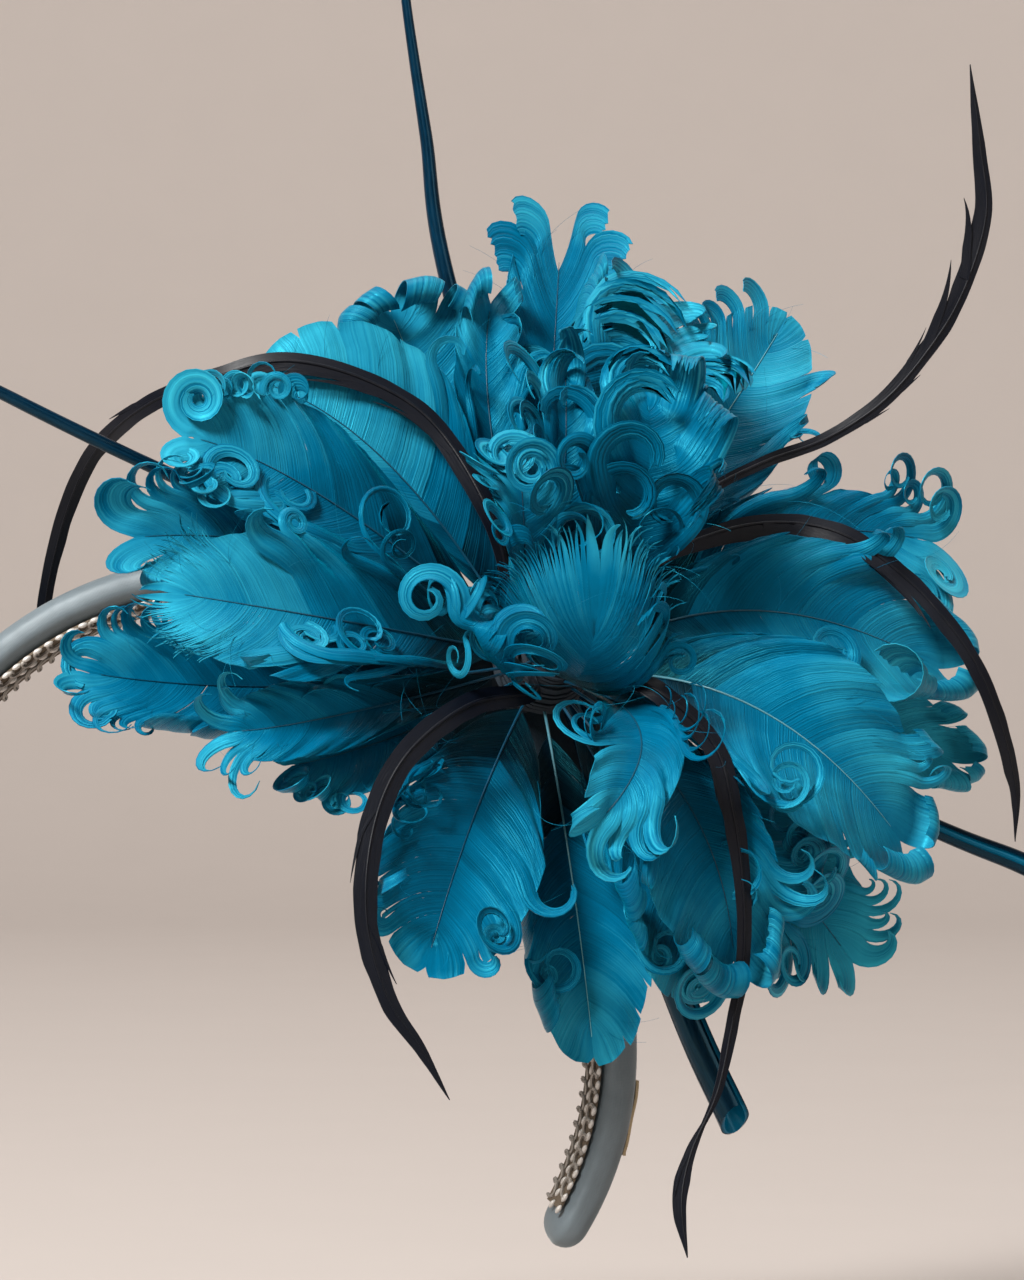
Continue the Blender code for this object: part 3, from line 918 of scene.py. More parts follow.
PLAIN, ROLL, RIBBON, SWIRL, RINGLET, HOOK, WRAP, FRINGE = Curl
SPRIGS = (
    Sprig(
        "feather_top_fork", (85, 22.0), (83, 50, 27), (81, 96, 24), 24, 2,
        PLAIN, PLAIN, PLAIN, -0.1, 0.0, fork=0.55, finish=0.86,
        anti_heroes=(
            Lock(0.72, 11, 0.71, 5.4, 0.36, 92, 0, 2, 0.6, 0.15, 0.1, 0.3),
            Lock(0.82, 8.5, 0.71, 5.0, 0.38, 92, 0, 2, 0.6, 0.15, 0.1, 0.25),
        ),
        clock_heroes=(
            Lock(0.735, 11, 0.80, 4.4, 0.36, 84, 0, 2, 0.6, 0.12, 0.1, 0.6),
            Lock(0.83, 7, 0.80, 4.4, 0.38, 84, 0, 2, 0.6, 0.12, 0.1, 0.8),
        ),
    ),
    Sprig(
        "feather_top_right", (50, 22.0), (49, 55, 25), (50, 97, 21), 27, 3,
        HOOK, PLAIN, PLAIN, 0.08, 0.6,
        anti_heroes=(
            Lock(0.58, 4, 0.75, 3.4, 0.45, 80, 0, 3, 0.6, 0.05),
            Lock(0.70, 5, 0.75, 3.6, 0.45, 80, 0, 3, 0.6, 0.05),
            Lock(0.79, 5, 0.74, 4.6, 0.42, 78, 0, 3, 0.6, 0.1),
            Lock(0.88, 5, 0.76, 4.6, 0.4, 78, 0, 3, 0.6, 0.1),
        ),
        clock_heroes=(Lock(0.5, 6, 0.7, 3.2, 0.9, 60, 0, 4), Lock(0.72, 8, 0.82, 3.4, 0.5, 30, 0, 4)),
    ),
    # Painted light: tone 0.4 pales this back feather, standing for light shining through it.
    Sprig(
        "feather_right_back", (350, 22.0), (351, 52, 24), (347, 89, 21), 22, 3,
        PLAIN, RINGLET, ROLL, 0.4,
    ),
    # Painted light: tone 0.35 pales this back feather, standing for light shining through it.
    Sprig("feather_low_back", (317, 22.0), (317, 50, 24), (314, 83, 22), 24, 3, HOOK, ROLL, HOOK, 0.35),
    Sprig(
        "feather_top_left_fan", (112, 22.0), (108, 51, 23), (108, 77, 24), 34, 3,
        PLAIN, PLAIN, ROLL, 0.05, 0.6,
    ),
    # Painted light: tone 0.35 pales this back feather, standing for light shining through it.
    Sprig(
        "feather_left_pale", (130, 24.5), (128, 49, 31), (134, 77, 30), 28, 3,
        PLAIN, PLAIN, PLAIN, 0.35, skew=0.4,
    ),
    Sprig("feather_top_back", (66, 24.5), (73, 48, 33), (71, 82, 30), 22, 3, ROLL, PLAIN, PLAIN, 0.1),
    Sprig(
        "feather_top_left_slim", (100, 24.5), (100, 47, 31), (94, 73, 31), 14, 2,
        PLAIN, PLAIN, ROLL, 0.0,
    ),
    Sprig(
        "feather_left_high", (150, 27.0), (148, 54, 38), (151, 83, 40), 26, 3,
        ROLL, PLAIN, RINGLET, 0.1,
        anti_heroes=(
            Lock(0.34, 9, 0.35, 5.6, 1.2, -92, 14, 14, 0.35, 0.5),
            Lock(0.58, 8, 0.4, 5.4, 1.1, -90, 10, 12, 0.4, 0.5),
        ),
        clock_heroes=(
            Lock(0.52, 4, 0.75, 2.8, 1.3, 80), Lock(0.60, 4, 0.7, 3.0, 1.3, 78),
            Lock(0.67, 3.5, 0.7, 2.8, 1.4, 75),
        ),
    ),
    Sprig("feather_left_mid", (162, 24.0), (158, 51, 33), (166, 88, 36), 20, 3, ROLL, PLAIN, HOOK, 0.1),
    Sprig(
        "feather_right_high", (24, 24.5), (27, 48, 34), (16, 87, 30), 26, 3,
        PLAIN, PLAIN, SWIRL, 0.0, skew=0.3,
        anti_heroes=(Lock(0.55, 4, 0.85, 3.6, 0.85, 88, -14, 2, 0.6, 0.08),),
    ),
    Sprig(
        "feather_low_curl", (300, 24.5), (302, 47, 31), (309, 71, 28), 20, 3,
        SWIRL, RINGLET, SWIRL, 0.0,
    ),
    Sprig(
        "feather_down_mid", (267, 23.0), (267, 46, 32), (269, 79, 30), 25, 3,
        PLAIN, ROLL, PLAIN, 0.0, 0.9,
        clock_heroes=(Lock(0.55, 7, 0.5, 4.2, 1.2, -75),),
    ),
    Sprig(
        "feather_left_low", (187, 25.0), (187, 57, 32), (183, 96, 35), 22, 3,
        ROLL, PLAIN, HOOK, -0.2, 0.0,
        anti_heroes=(Lock(0.72, 6, 0.6, 3.6, 0.7, 70), Lock(0.86, 7, 0.6, 4.0, 0.65, 80, 0, 6, 0.6, 0.5)),
        clock_heroes=(
            Lock(0.62, 5, 0.6, 3.6, 0.7, 60), Lock(0.76, 5, 0.6, 3.4, 0.6, 60),
            Lock(0.87, 6, 0.6, 4.4, 0.55, -80, 0, 6, 0.6, 0.5),
        ),
    ),
    Sprig(
        "feather_left_under", (210, 26.0), (207, 41, 38), (203, 65, 41), 18, 3,
        RINGLET, RIBBON, RINGLET, -0.05,
    ),
    Sprig(
        "feather_right_mid", (5, 28.0), (7, 39, 43), (356, 78, 38), 30, 3,
        PLAIN, ROLL, ROLL, 0.1, 0.15,
        clock_heroes=(
            Lock(0.44, 8, 0.40, 5.4, 1.4, -80, 6, 12, 0.35),
            Lock(0.70, 13, 0.72, 6.0, 0.75, -25, 0, 3, 0.6, 0.7),
        ),
    ),
    Sprig(
        "feather_down_left", (235, 27.0), (235, 44, 44), (239, 76, 48), 30, 3,
        PLAIN, ROLL, PLAIN, -0.16, 0.0,
        anti_heroes=(Lock(0.66, 6, 0.6, 3.6, 1.3, -75), Lock(0.84, 4, 0.75, 3.0, 0.6, 70)),
        clock_heroes=(
            Lock(0.28, 6, 0.65, 4.6, 0.8, -75, -8), Lock(0.42, 5, 0.7, 3.8, 0.75, -65),
            Lock(0.74, 5, 0.75, 3.2, 0.7, 75), Lock(0.82, 4, 0.8, 2.8, 0.8, 75),
        ),
    ),
    Sprig(
        "feather_down_right_long", (281, 26.5), (281, 46, 44), (283, 71, 40), 20, 3,
        PLAIN, ROLL, PLAIN, 0.0,
        anti_heroes=(Lock(0.84, 9, 0.5, 4.6, 1.5, -84, 4, 6, 0.4, 0.5),),
        clock_heroes=(Lock(0.60, 6, 0.55, 3.8, 1.4, -78),),
    ),
    Sprig(
        "feather_right_low", (331, 29.0), (328, 36, 55), (324, 74, 48), 34, 4,
        PLAIN, PLAIN, ROLL, 0.15, 0.6,
        anti_heroes=(Lock(0.80, 6, 0.7, 3.4, 0.8, 50),),
        clock_heroes=(Lock(0.40, 9, 0.55, 4.6, 1.35, -62, 0, 8), Lock(0.78, 6, 0.75, 3.6, 0.6, 40)),
    ),
    Sprig(
        "feather_down_right", (296, 29.5), (292, 40, 52), (289, 70, 46), 28, 3,
        RIBBON, PLAIN, ROLL, 0.0, skew=0.2,
    ),
    Sprig(
        "feather_left_front", (178, 30.0), (181, 50, 53), (177, 84, 54), 28, 3,
        PLAIN, PLAIN, FRINGE, 0.1,
        anti_heroes=(
            Lock(0.11, 4.5, 0.35, 4.4, 1.3, -90, 10, 16, 0.4, 0.5),
            Lock(0.20, 6, 0.35, 4.8, 1.2, -92, 16, 20, 0.4, 0.5),
            Lock(0.33, 9, 0.30, 6.8, 1.35, -92, 20, 18, 0.33, 0.5),
        ),
        clock_heroes=(
            Lock(0.13, 8, 0.50, 5.8, 1.5, 82, -10, 12, 0.33), Lock(0.41, 4, 0.69, 2.8, 1.6, -84),
            Lock(0.48, 4, 0.69, 2.8, 1.5, 84),
        ),
    ),
    Sprig(
        "feather_left_tuft", (200, 29.0), (199, 52, 47), (196, 75, 48), 14, 2,
        PLAIN, PLAIN, HOOK, 0.0,
    ),
    Sprig(
        "feather_crown_back", (72, 27.5), (75, 42, 42), (71, 72, 42), 26, 3,
        RIBBON, HOOK, HOOK, 0.1, -1.0,
        anti_heroes=(
            Lock(0.27, 7.2, 0.30, 9.0, 0.50, -72, 8, 12, 0.8, 0.8, 0.2, 0.8),
            Lock(0.37, 7.2, 0.30, 9.5, 0.48, -75, 8, 14, 0.8, 0.8, 0.2, 0.8),
            Lock(0.47, 7.2, 0.30, 10, 0.48, -78, 8, 16, 0.8, 0.8, 0.3, 0.8),
            Lock(0.57, 7.2, 0.30, 9.5, 0.50, -78, 7, 17, 0.8, 0.8, 0.3, 0.8),
            Lock(0.67, 7.2, 0.30, 9.0, 0.52, -75, 6, 18, 0.8, 0.8, 0.4, 0.8),
            Lock(0.77, 7.2, 0.30, 8.0, 0.55, -75, 4, 18, 0.8, 0.8, 0.4, 0.8),
        ),
        clock_heroes=(Lock(0.62, 9, 0.6, 7.0, 0.5, 60, 0, 12, 0.7, 0.8, 0.5),),
    ),
    Sprig(
        "feather_crown_slim", (104, 30.0), (96, 25, 50), (90, 51, 53), 15, 2,
        SWIRL, WRAP, WRAP, -0.15, 0.0,
        anti_heroes=(
            Lock(0.45, 6, 0.25, 5.5, 0.6, 78, 25, 14, 0.7, 0.5),
            Lock(0.68, 7, 0.25, 6.5, 0.6, 78, 25, 14, 0.7, 0.5),
        ),
        clock_heroes=(Lock(0.60, 8, 0.3, 6.0, 0.6, -70, 10, 20, 0.6, 0.5),),
    ),
    Sprig(
        "feather_crown_spiral", (130, 31.0), (141, 18, 56), (118, 31, 61), 15, 2,
        ROLL, PLAIN, PLAIN, 0.0, 0.0,
        anti_heroes=(
            Lock(0.50, 6, 0.5, 4.0, 1.1, 80, 0, 8, 0.5, 0.5),
            Lock(0.70, 8, 0.5, 3.4, 1.3, 82, 0, 8, 0.4, 0.5),
            Lock(0.87, 6, 0.5, 3.0, 1.5, 82, 0, 8, 0.4, 0.5),
        ),
        clock_heroes=(
            Lock(0.60, 6, 0.6, 6.2, 0.9, -84, 0, 10, 0.5, 0.5),
            Lock(0.76, 6, 0.6, 5.4, 1.3, -84, 0, 12, 0.4, 0.5),
            Lock(0.88, 5, 0.6, 4.6, 1.5, -84, 0, 12, 0.4, 0.5),
        ),
    ),
    Sprig(
        "feather_crown_front", (60, 31.0), (65, 24, 58), (74, 44, 62), 24, 3,
        SWIRL, WRAP, WRAP, -0.15, -1.0,
        anti_heroes=(
            Lock(0.20, 5, 0.3, 6.0, 0.75, -72, 10, 14, 0.6, 0.5),
            Lock(0.38, 6, 0.25, 7.0, 0.65, -76, 10, 16, 0.65, 0.5, 0.1),
            Lock(0.58, 7, 0.25, 8.0, 0.55, -76, 10, 18, 0.7, 0.6, 0.2),
            Lock(0.80, 7, 0.30, 7.0, 0.55, -70, 6, 18, 0.7, 0.6, 0.3),
        ),
        clock_heroes=(
            Lock(0.13, 1.2, 0.3, 6.0, 0.9, -60, 0, 20, 0.6, 0.6),
            Lock(0.22, 5, 0.35, 6.0, 0.9, -72, 0, 14, 0.6, 0.4),
            Lock(0.38, 8, 0.40, 7.0, 0.62, 20, 0, 14, 0.75, 0.35, 0.25, 0.6),
            Lock(0.60, 11, 0.42, 7.5, 0.62, 6, 0, 12, 0.75, 0.45, 0.2, 0.6),
            Lock(0.82, 9, 0.45, 6.5, 0.60, -10, 0, 12, 0.75, 0.45, 0.2, 0.6),
        ),
    ),
    Sprig(
        "feather_down_front", (280, 32.0), (276, 26, 62), (258, 45, 66), 16, 2,
        RIBBON, ROLL, RIBBON, 0.1,
        clock_heroes=(Lock(0.52, 7, 0.5, 4.8, 0.75, 84, -22, 4, 0.6, 0.1),),
    ),
    Sprig(
        "feather_front_left", (200, 32.0), (203, 27, 60), (182, 30, 66), 13, 2,
        SWIRL, SWIRL, SWIRL, 0.0,
    ),
    Sprig(
        "feather_front_cup", (240, 34.0), (244, 13, 60), (140, 9, 77), 32, 6,
        FRINGE, FRINGE, FRINGE, 0.05, -1.0, facing=-1, skew=0.15, finish=0.68, lead=0.5,
        anti_heroes=(
            Lock(0.12, 4, 0.55, 3.6, 1.3, 70), Lock(0.25, 6, 0.72, 5.2, 0.5, -70, 0, 6, 0.6, 0.1),
            Lock(0.36, 4, 0.72, 5.2, 0.4, -60, 0, 6, 0.6, 0.1),
        ),
        clock_heroes=(Lock(0.16, 5, 0.72, 3.2, 0.8, 40, 0, 4, 0.6, 0.5),),
    ),
)


@dataclass
class CurledFeather:
    """Builds one feather from its barbs, grouped into locks that part from the vane and curl.

    Lengths are in mm. Places along the feather are shares of its length, places along a barb go from 0 at
    the shaft to 1 at the outline, and hand is 1 for the anticlockwise side and -1 for the other.
    """

    sprig: Sprig
    seed: int
    line_rows: int = 61
    past_rows: int = 15
    barb_column: float = 0.95
    flat_rows: int = 6
    calm_rows: int = 5
    rows_per_turn: int = 17
    thickness: float = 0.16
    start: float = 0.06
    tip_from: float = 0.71
    beyond: float = 1.02
    root_width: float = 0.09
    widest_at: float = 0.6
    tip_span: float = 0.42
    fork_width: float = 0.24
    barb_ahead: float = 0.32
    barb_spread: float = 0.62
    arch: float = 0.9
    fold: float = 0.7
    folds: tuple[float, ...] = (8.3, 13.7, 21.0, 34.0)
    stray: float = 0.3
    join: float = 0.004
    scrap: float = 0.025
    fringe_taper: float = 0.5
    drift_knots: int = 7
    root_curl: float = 0.55
    grown_curl: float = 0.45
    strand_split: float = 0.7
    strand_twist: float = 45.0
    strand_width: float = 3.0
    strand_nesting: float = 0.8
    strand_spread: float = 0.05
    shredded_jag: float = 0.15
    flare: float = 0.4
    dish: float = 0.16
    laid_flat: float = 0.92
    tone_spread: float = 0.06
    hairs_a_side: int = 8
    hair_rows: int = 12
    hair_past: Pair = (1.0, 4.0)
    hair_radius: float = 0.05
    rachis_rows: int = 26
    rachis_radius: float = 0.34
    rachis_proud: float = 0.2
    rachis_buried: float = 1.6
    rachis_past: float = 0.03
    chance: np.random.Generator = field(init=False)

    def __post_init__(self) -> None:
        """Sample the feather's middle line and its frame."""
        self.chance = np.random.default_rng(self.seed)
        sprig = self.sprig
        root, mid, tip = Flower.root(*sprig.root), Flower.point(*sprig.mid), Flower.point(*sprig.tip)
        pull = 2 * mid - (root + tip) / 2
        share = np.linspace(0, 1, self.line_rows)[:, None]
        line = (1 - share) ** 2 * root + 2 * share * (1 - share) * pull + share ** 2 * tip
        self.length = float(np.linalg.norm(np.diff(line, axis=0), axis=1).sum())
        along = unit(np.gradient(line, axis=0))
        past = np.linspace(0, 0.5, self.past_rows + 1)[1:, None]
        line = np.concatenate([line, line[-1] + along[-1] * past * self.length])
        along = np.concatenate([along, np.repeat(along[-1:], self.past_rows, axis=0)])
        level = np.cross(Flower.face, Flower.point(sprig.mid[0], 1, 0) - Flower.seat)
        side = unit(level - (along @ level)[:, None] * along)
        self.shares = np.concatenate([share[:, 0], 1 + past[:, 0]])
        self.line, self.side = line, side
        self.front = np.cross(along, side) * sprig.facing
        self.phase = self.chance.random((2, len(self.folds))) * 6.0

    def at(self, share: Grid, table: Grid) -> Grid:
        """Read a table of the middle line at shares of its length."""
        return read_table(share, self.shares, table)

    def outline(self, share: Grid) -> Grid:
        """Give half the vane's width.

        Args:
            share: Places along the feather.

        Returns:
            The half widths there, in mm.
        """
        rise = self.root_width + (1 - self.root_width) * smoothstep(share / self.widest_at)
        fall = np.sqrt(np.clip(1 - ((share - self.widest_at) / self.tip_span) ** 2, 0, 1))
        return self.sprig.width / 2 * np.where(share < self.widest_at, rise, fall)

    def vane(self, origin: Grid, u: Grid, hand: float) -> Grid:
        """Points of the smooth vane before it curls.

        Args:
            origin: Where the barb leaves the shaft.
            u: Places along the barb.
            hand: The side.

        Returns:
            Points with the shape of origin and u broadcast, and 3.
        """
        sprig = self.sprig
        passed = (origin - self.start) / (sprig.finish - self.start)
        reach = sprig.lead * (1 - passed) + (self.beyond - sprig.finish) * passed
        width = self.outline(origin + reach) * (1 - hand * sprig.skew)
        width = np.maximum(width, sprig.fork * sprig.width * self.fork_width * smoothstep(passed * 3 - 2))
        ahead = 2 * self.barb_ahead * u * (1 - u) + u * u
        spread = width * (2 * self.barb_spread * u * (1 - u) + u * u)
        share = origin + reach * ahead
        out = spread / (sprig.width / 2)
        run = origin * self.length * 2 * np.pi
        phase = self.phase[0 if hand > 0 else 1]
        wave = sum(np.sin(run / pitch + shift) for pitch, shift in zip(self.folds, phase)) / 2
        arched = self.arch * 4 * u * (1 - u) * np.minimum(out * 2, 1)
        height = sprig.cup * sprig.facing * out ** 2 + arched
        height = height + self.fold * wave * np.abs(out) ** 1.3
        return (self.at(share, self.line) + hand * spread[..., None] * self.at(share, self.side)
                + height[..., None] * self.at(share, self.front))

    def plan_side(self, margin: Curl, end: Curl, heroes: tuple[Lock, ...]) -> list[Lock]:
        """Share a side's barbs out into locks from root to tip, round the locks that the photo shows.

        Args:
            margin: The curl of the side's margin.
            end: The curl near the tip.
            heroes: The locks that the photo shows.

        Returns:
            The locks in order.
        """
        finish = self.sprig.finish
        locks = []
        place = self.start
        drift = self.chance.random((4, self.drift_knots))
        waiting = sorted(heroes, key=lambda lock: lock.share)
        while place < finish - self.join:
            if waiting and place >= waiting[0].share - waiting[0].width / 2 / self.length - self.join:
                locks.append(waiting.pop(0))
                place = locks[-1].share + locks[-1].width / 2 / self.length
                continue
            near_tip = place - self.start > self.tip_from * (finish - self.start)
            curl = end if near_tip else margin
            fringed = curl is Curl.FRINGE
            if not near_tip and not fringed and self.chance.random() < self.stray:
                curl = Curl.PLAIN if curl is not Curl.PLAIN else Curl.RIBBON
            form = curl.value
            step = self.chance.uniform(*form.width) * (0.6 + 0.4 * min(1, place / 0.4)) / self.length
            if fringed:
                step *= 1 - self.fringe_taper * (place - self.start) / (finish - self.start)
            stop = place + step
            if finish - stop < (self.join if fringed else self.scrap):
                stop = finish
            if waiting:
                stop = min(stop, waiting[0].share - waiting[0].width / 2 / self.length)
            locks.append(self.draw(form, (place + stop) / 2, (stop - place) * self.length, drift))
            place = stop
        return locks

    def draw(self, form: CurlForm, share: float, width: float, drift: Grid) -> Lock:
        """Draw one lock's numbers, which drift slowly along the margin.

        Args:
            form: The margin's curl.
            share: Where the lock sits.
            width: Its width.
            drift: A row of numbers from 0 to 1 for each of split, radius, turns and twist.

        Returns:
            The lock.
        """
        knots = np.linspace(0, 1, self.drift_knots)
        split, radius, turns, twist = (
            self.pick(span, form.loose, float(np.interp(share, knots, row)))
            for span, row in zip((form.split, form.radius, form.turns, form.twist), drift)
        )
        grown = float(smoothstep(np.array((share - 0.05) / 0.35)))
        small = self.root_curl + self.grown_curl * grown
        return Lock(
            share=share, width=width, split=split, radius=radius * small, turns=turns,
            tighten=form.tighten, twist=twist, sweep=self.chance.uniform(*form.sweep),
            rise=self.chance.uniform(*form.rise), point=form.point, jag=form.jag, calm=form.calm,
        )

    def pick(self, span: Pair, loose: float, slow: float) -> float:
        """Draw a number from a span: the share loose of it freely, and the rest from a slow drift."""
        return span[0] + (span[1] - span[0]) * ((1 - loose) * slow + loose * self.chance.random())

    def strands(self, lock: Lock) -> list[Lock]:
        """Part a long loose lock into strands whose curls lie inside one another.

        Args:
            lock: The lock.

        Returns:
            Its strands, or the lock alone when it is short or curls out of the vane's plane.
        """
        if lock.split > self.strand_split or abs(lock.twist) < self.strand_twist:
            return [lock]
        count = max(1, round(lock.width / max(self.strand_width, lock.radius * 0.7)))
        each = lock.width / count
        inside = math.sin(math.radians(lock.twist)) * self.strand_nesting
        parts = []
        for index in range(count):
            away = (index + 0.5 - count / 2) * each
            radius = max(lock.radius + inside * away, lock.radius * 0.35)
            parts.append(replace(
                lock, share=lock.share + away / self.length, width=each,
                radius=radius * (1 + self.chance.normal(0, self.strand_spread)),
                turns=lock.turns * (1 + self.chance.normal(0, self.strand_spread)),
                twist=lock.twist + self.chance.normal(0, 3), rise=lock.rise + self.chance.normal(0, 1.5),
            ))
        return parts

    def add_lock(self, stock: Stock, lock: Lock, hand: float) -> None:
        """Build one lock: its part of the vane, and its free end as it curls.

        Args:
            stock: The feather's stock.
            lock: The lock.
            hand: The side.
        """
        column = self.barb_column * (0.6 if lock.jag > self.shredded_jag else 1.0)
        columns = max(2, round(lock.width / column)) + 1
        half = lock.width / self.length / 2
        origin = np.linspace(lock.share - half, lock.share + half, columns)
        flat = self.vane(origin[None], lock.split * np.linspace(0, 1, self.flat_rows)[:, None], hand)
        ends = self.vane(origin[None], np.array([[lock.split - 0.03], [lock.split], [0.97], [1.0]]), hand)
        heading = unit((ends[1] - ends[0]).mean(axis=0))
        final = unit((ends[3] - ends[2]).mean(axis=0))
        edge = flat[-1]
        middle = edge[columns // 2]
        across = edge[-1] - edge[0]
        across = unit(across - (across @ heading) * heading)
        lifted = np.cross(heading, across)
        if lifted @ self.at(np.array(lock.share), self.front) < 0:
            lifted = -lifted
        calm = float(np.linalg.norm(ends[3] - ends[1], axis=-1).mean()) * lock.calm + 0.4
        axes = (heading, across, lifted)
        walk = self.walk(lock, middle, axes, final, calm)
        free = self.free_end(lock, edge - middle, axes, walk, calm)
        leaf = np.concatenate([flat, free[1:]])
        if hand * self.sprig.facing > 0:
            leaf, origin = leaf[:, ::-1], origin[::-1]
        self.finish_leaf(stock, leaf, origin, lock)

    def free_end(self, lock: Lock, offset: Grid, axes: tuple[Grid, Grid, Grid],
                 walk: tuple[Grid, Grid, tuple[Grid, Grid, Grid]], calm: float) -> Grid:
        """Spread a lock's barbs round the walk of its middle.

        A lock that parts late keeps its slanting edge, and one that parts early is gathered into a ribbon.

        Args:
            lock: The lock.
            offset: Where each barb parts, counted from the middle one.
            axes: Directions ahead, across and up where it parts.
            walk: What the walk gave.
            calm: Length before it curls, in mm.

        Returns:
            Points with shape (rows, barbs, 3).
        """
        lengths, path, frames = walk
        columns = len(offset)
        ahead, aside, above = (offset @ axis for axis in axes)
        rigid = lock.split > self.strand_split
        shift = np.zeros(columns) if rigid else ahead
        total = lengths[-1]
        travel = (lengths / total)[:, None]
        stop = total * (1 - lock.jag * self.chance.random(columns)) + np.minimum(shift, 0) * 0.5
        place = shift + (stop - shift) * travel
        read = np.clip(place, 0, total)
        centre, _, sideways, upward = (read_table(read, lengths, table) for table in (path, *frames))
        before = np.minimum(place, 0)[..., None] * axes[0]
        if rigid:
            before = before + (ahead[:, None] * axes[0])[None]
        across_share = np.linspace(-1, 1, columns)
        loose = smoothstep(travel * total / max(calm, 1.0))
        flare = self.flare * loose * (lock.split < self.strand_split)
        narrow = (1 - (1 - lock.point) * travel ** 1.6) * (1 + flare)
        hollow = 0.0 if rigid else self.dish
        dish = hollow * lock.width * (1 - across_share ** 2) * np.sin(np.pi * np.minimum(travel * 1.4, 1))
        return (centre + before + sideways * (aside * narrow)[..., None]
                + upward * (above * narrow + dish)[..., None])

    def walk(self, lock: Lock, start: Grid, axes: tuple[Grid, Grid, Grid], final: Grid,
             calm: float) -> tuple[Grid, Grid, tuple[Grid, Grid, Grid]]:
        """Walk along a lock's middle from where it parts to its end.

        Args:
            lock: The lock.
            start: Its first point.
            axes: Directions ahead, across and up at the start.
            final: The barbs' own direction at the outline.
            calm: Length before it curls, in mm.

        Returns:
            Lengths walked, points, and the three directions at each of them.
        """
        heading, across, lifted = axes
        curl = lock.turns * 2 * math.pi * lock.radius * (1 - lock.tighten) / math.log(1 / lock.tighten)
        rows = self.calm_rows
        turning = max(5, round(lock.turns * self.rows_per_turn))
        steps = np.concatenate([np.full(rows, calm / rows), np.full(turning, curl / turning)])
        swing = math.atan2(final @ across, final @ heading) + math.radians(lock.sweep)
        dip = math.atan2(final @ lifted, final @ heading)
        rise = math.radians(lock.rise)
        twist = math.radians(lock.twist)
        walked = 0.0
        wrung = 0.0
        points, kept = [start], [(heading, across, lifted)]
        for index, step in enumerate(steps):
            walked += step
            if index < rows:
                share = (index + 0.5) / rows
                bend = dip / rows + rise * 2 * math.pi / rows * math.cos(math.pi * share) / 2
                turn = swing / rows
            else:
                share = (index - rows + 0.5) / turning
                angle = step / (lock.radius * (1 - (1 - lock.tighten) * share))
                bend = angle * math.cos(twist * self.laid_flat)
                turn = -angle * math.sin(twist * self.laid_flat)
            wringing = (walked - calm * 0.35) / (calm * 0.65 + curl * 0.22)
            wanted = twist * (1 - self.laid_flat) * float(smoothstep(np.array(wringing)))
            wring, wrung = wanted - wrung, wanted
            heading, across = turned(heading, across, turn)
            heading, lifted = turned(heading, lifted, bend)
            across, lifted = turned(across, lifted, wring)
            points.append(points[-1] + heading * step)
            kept.append((heading, across, lifted))
        lengths = np.concatenate([[0.0], np.cumsum(steps)])
        return lengths, np.array(points), tuple(np.array(axis) for axis in zip(*kept))

    def finish_leaf(self, stock: Stock, leaf: Grid, origin: Grid, lock: Lock) -> None:
        """Give a lock its UVs and tints and add it.

        Args:
            stock: The feather's stock.
            leaf: Points with shape (rows, barbs, 3).
            origin: Where each barb leaves the shaft.
            lock: The lock.
        """
        rows, columns = leaf.shape[:2]
        moves = np.linalg.norm(np.diff(leaf, axis=0, prepend=leaf[:1]), axis=-1)
        walked = np.cumsum(moves, axis=0)
        lay = np.stack([np.broadcast_to(origin * self.length, (rows, columns)), walked], axis=-1)
        tone = float(np.clip(0.5 + self.sprig.tone + self.chance.normal(0, self.tone_spread), 0, 1))
        tints = np.empty((rows, columns, 4))
        tints[..., 0] = np.minimum(walked / walked[self.flat_rows + self.calm_rows - 2].mean(), 2.5)
        tints[..., 1] = tone
        tints[..., 2] = 0.0
        tints[..., 3] = lock.share
        stock.add_shells(leaf[None], self.thickness, lay[None], tints[None])

    def add_hairs(self, stock: Stock, locks: list[Lock], hand: float) -> None:
        """Add single barbs that have come away from the margin.

        Args:
            stock: The feather's stock.
            locks: The side's locks.
            hand: The side.
        """
        for _ in range(self.hairs_a_side):
            lock = locks[self.chance.integers(len(locks))]
            share = lock.share + self.chance.normal(0, 0.02)
            ends = self.vane(np.full(3, share), np.array([0.55, 0.58, 1.0]), hand)
            heading = unit(ends[1] - ends[0])
            front = self.at(np.array(share), self.front)
            across = unit(np.cross(front, heading))
            travel = np.linspace(0, 1, self.hair_rows)[:, None]
            reach = np.linalg.norm(ends[2] - ends[1]) + self.chance.uniform(*self.hair_past)
            turn = self.chance.normal(0, 1.3)
            lift = abs(self.chance.normal(0, 0.9))
            bow = travel ** 2
            line = ends[1] + reach * (heading * (travel - 0.25 * lift * travel ** 3)
                                      + across * turn * bow * 0.45 + front * lift * bow * 0.5)
            radii = self.hair_radius * (1 - 0.6 * travel[:, 0])
            tints = np.tile((0.6, 0.6, 0.0, 0.6), (self.hair_rows, 1))
            stock.add_tubes(line[None], radii[None], 3, tints[None])

    def add_rachis(self, stock: Stock) -> None:
        """Add the tapering shaft, a little proud of the vane, from inside the binding to the tip.

        Args:
            stock: The feather's stock.
        """
        share = np.linspace(0.0, self.sprig.finish + self.rachis_past, self.rachis_rows)
        line = self.at(share, self.line) + self.rachis_proud * self.at(share, self.front)
        inward = line[:1] - unit(line[1:2] - line[:1]) * self.rachis_buried
        line = np.concatenate([inward, line])
        place = np.linspace(0, 1, len(line))
        radii = self.rachis_radius * (1 - 0.85 * place ** 0.8)
        tints = np.stack([place, np.full(len(line), self.sprig.shaft), np.zeros(len(line)), place], axis=-1)
        stock.add_tubes(line[None], radii[None], 7, tints[None], 1)

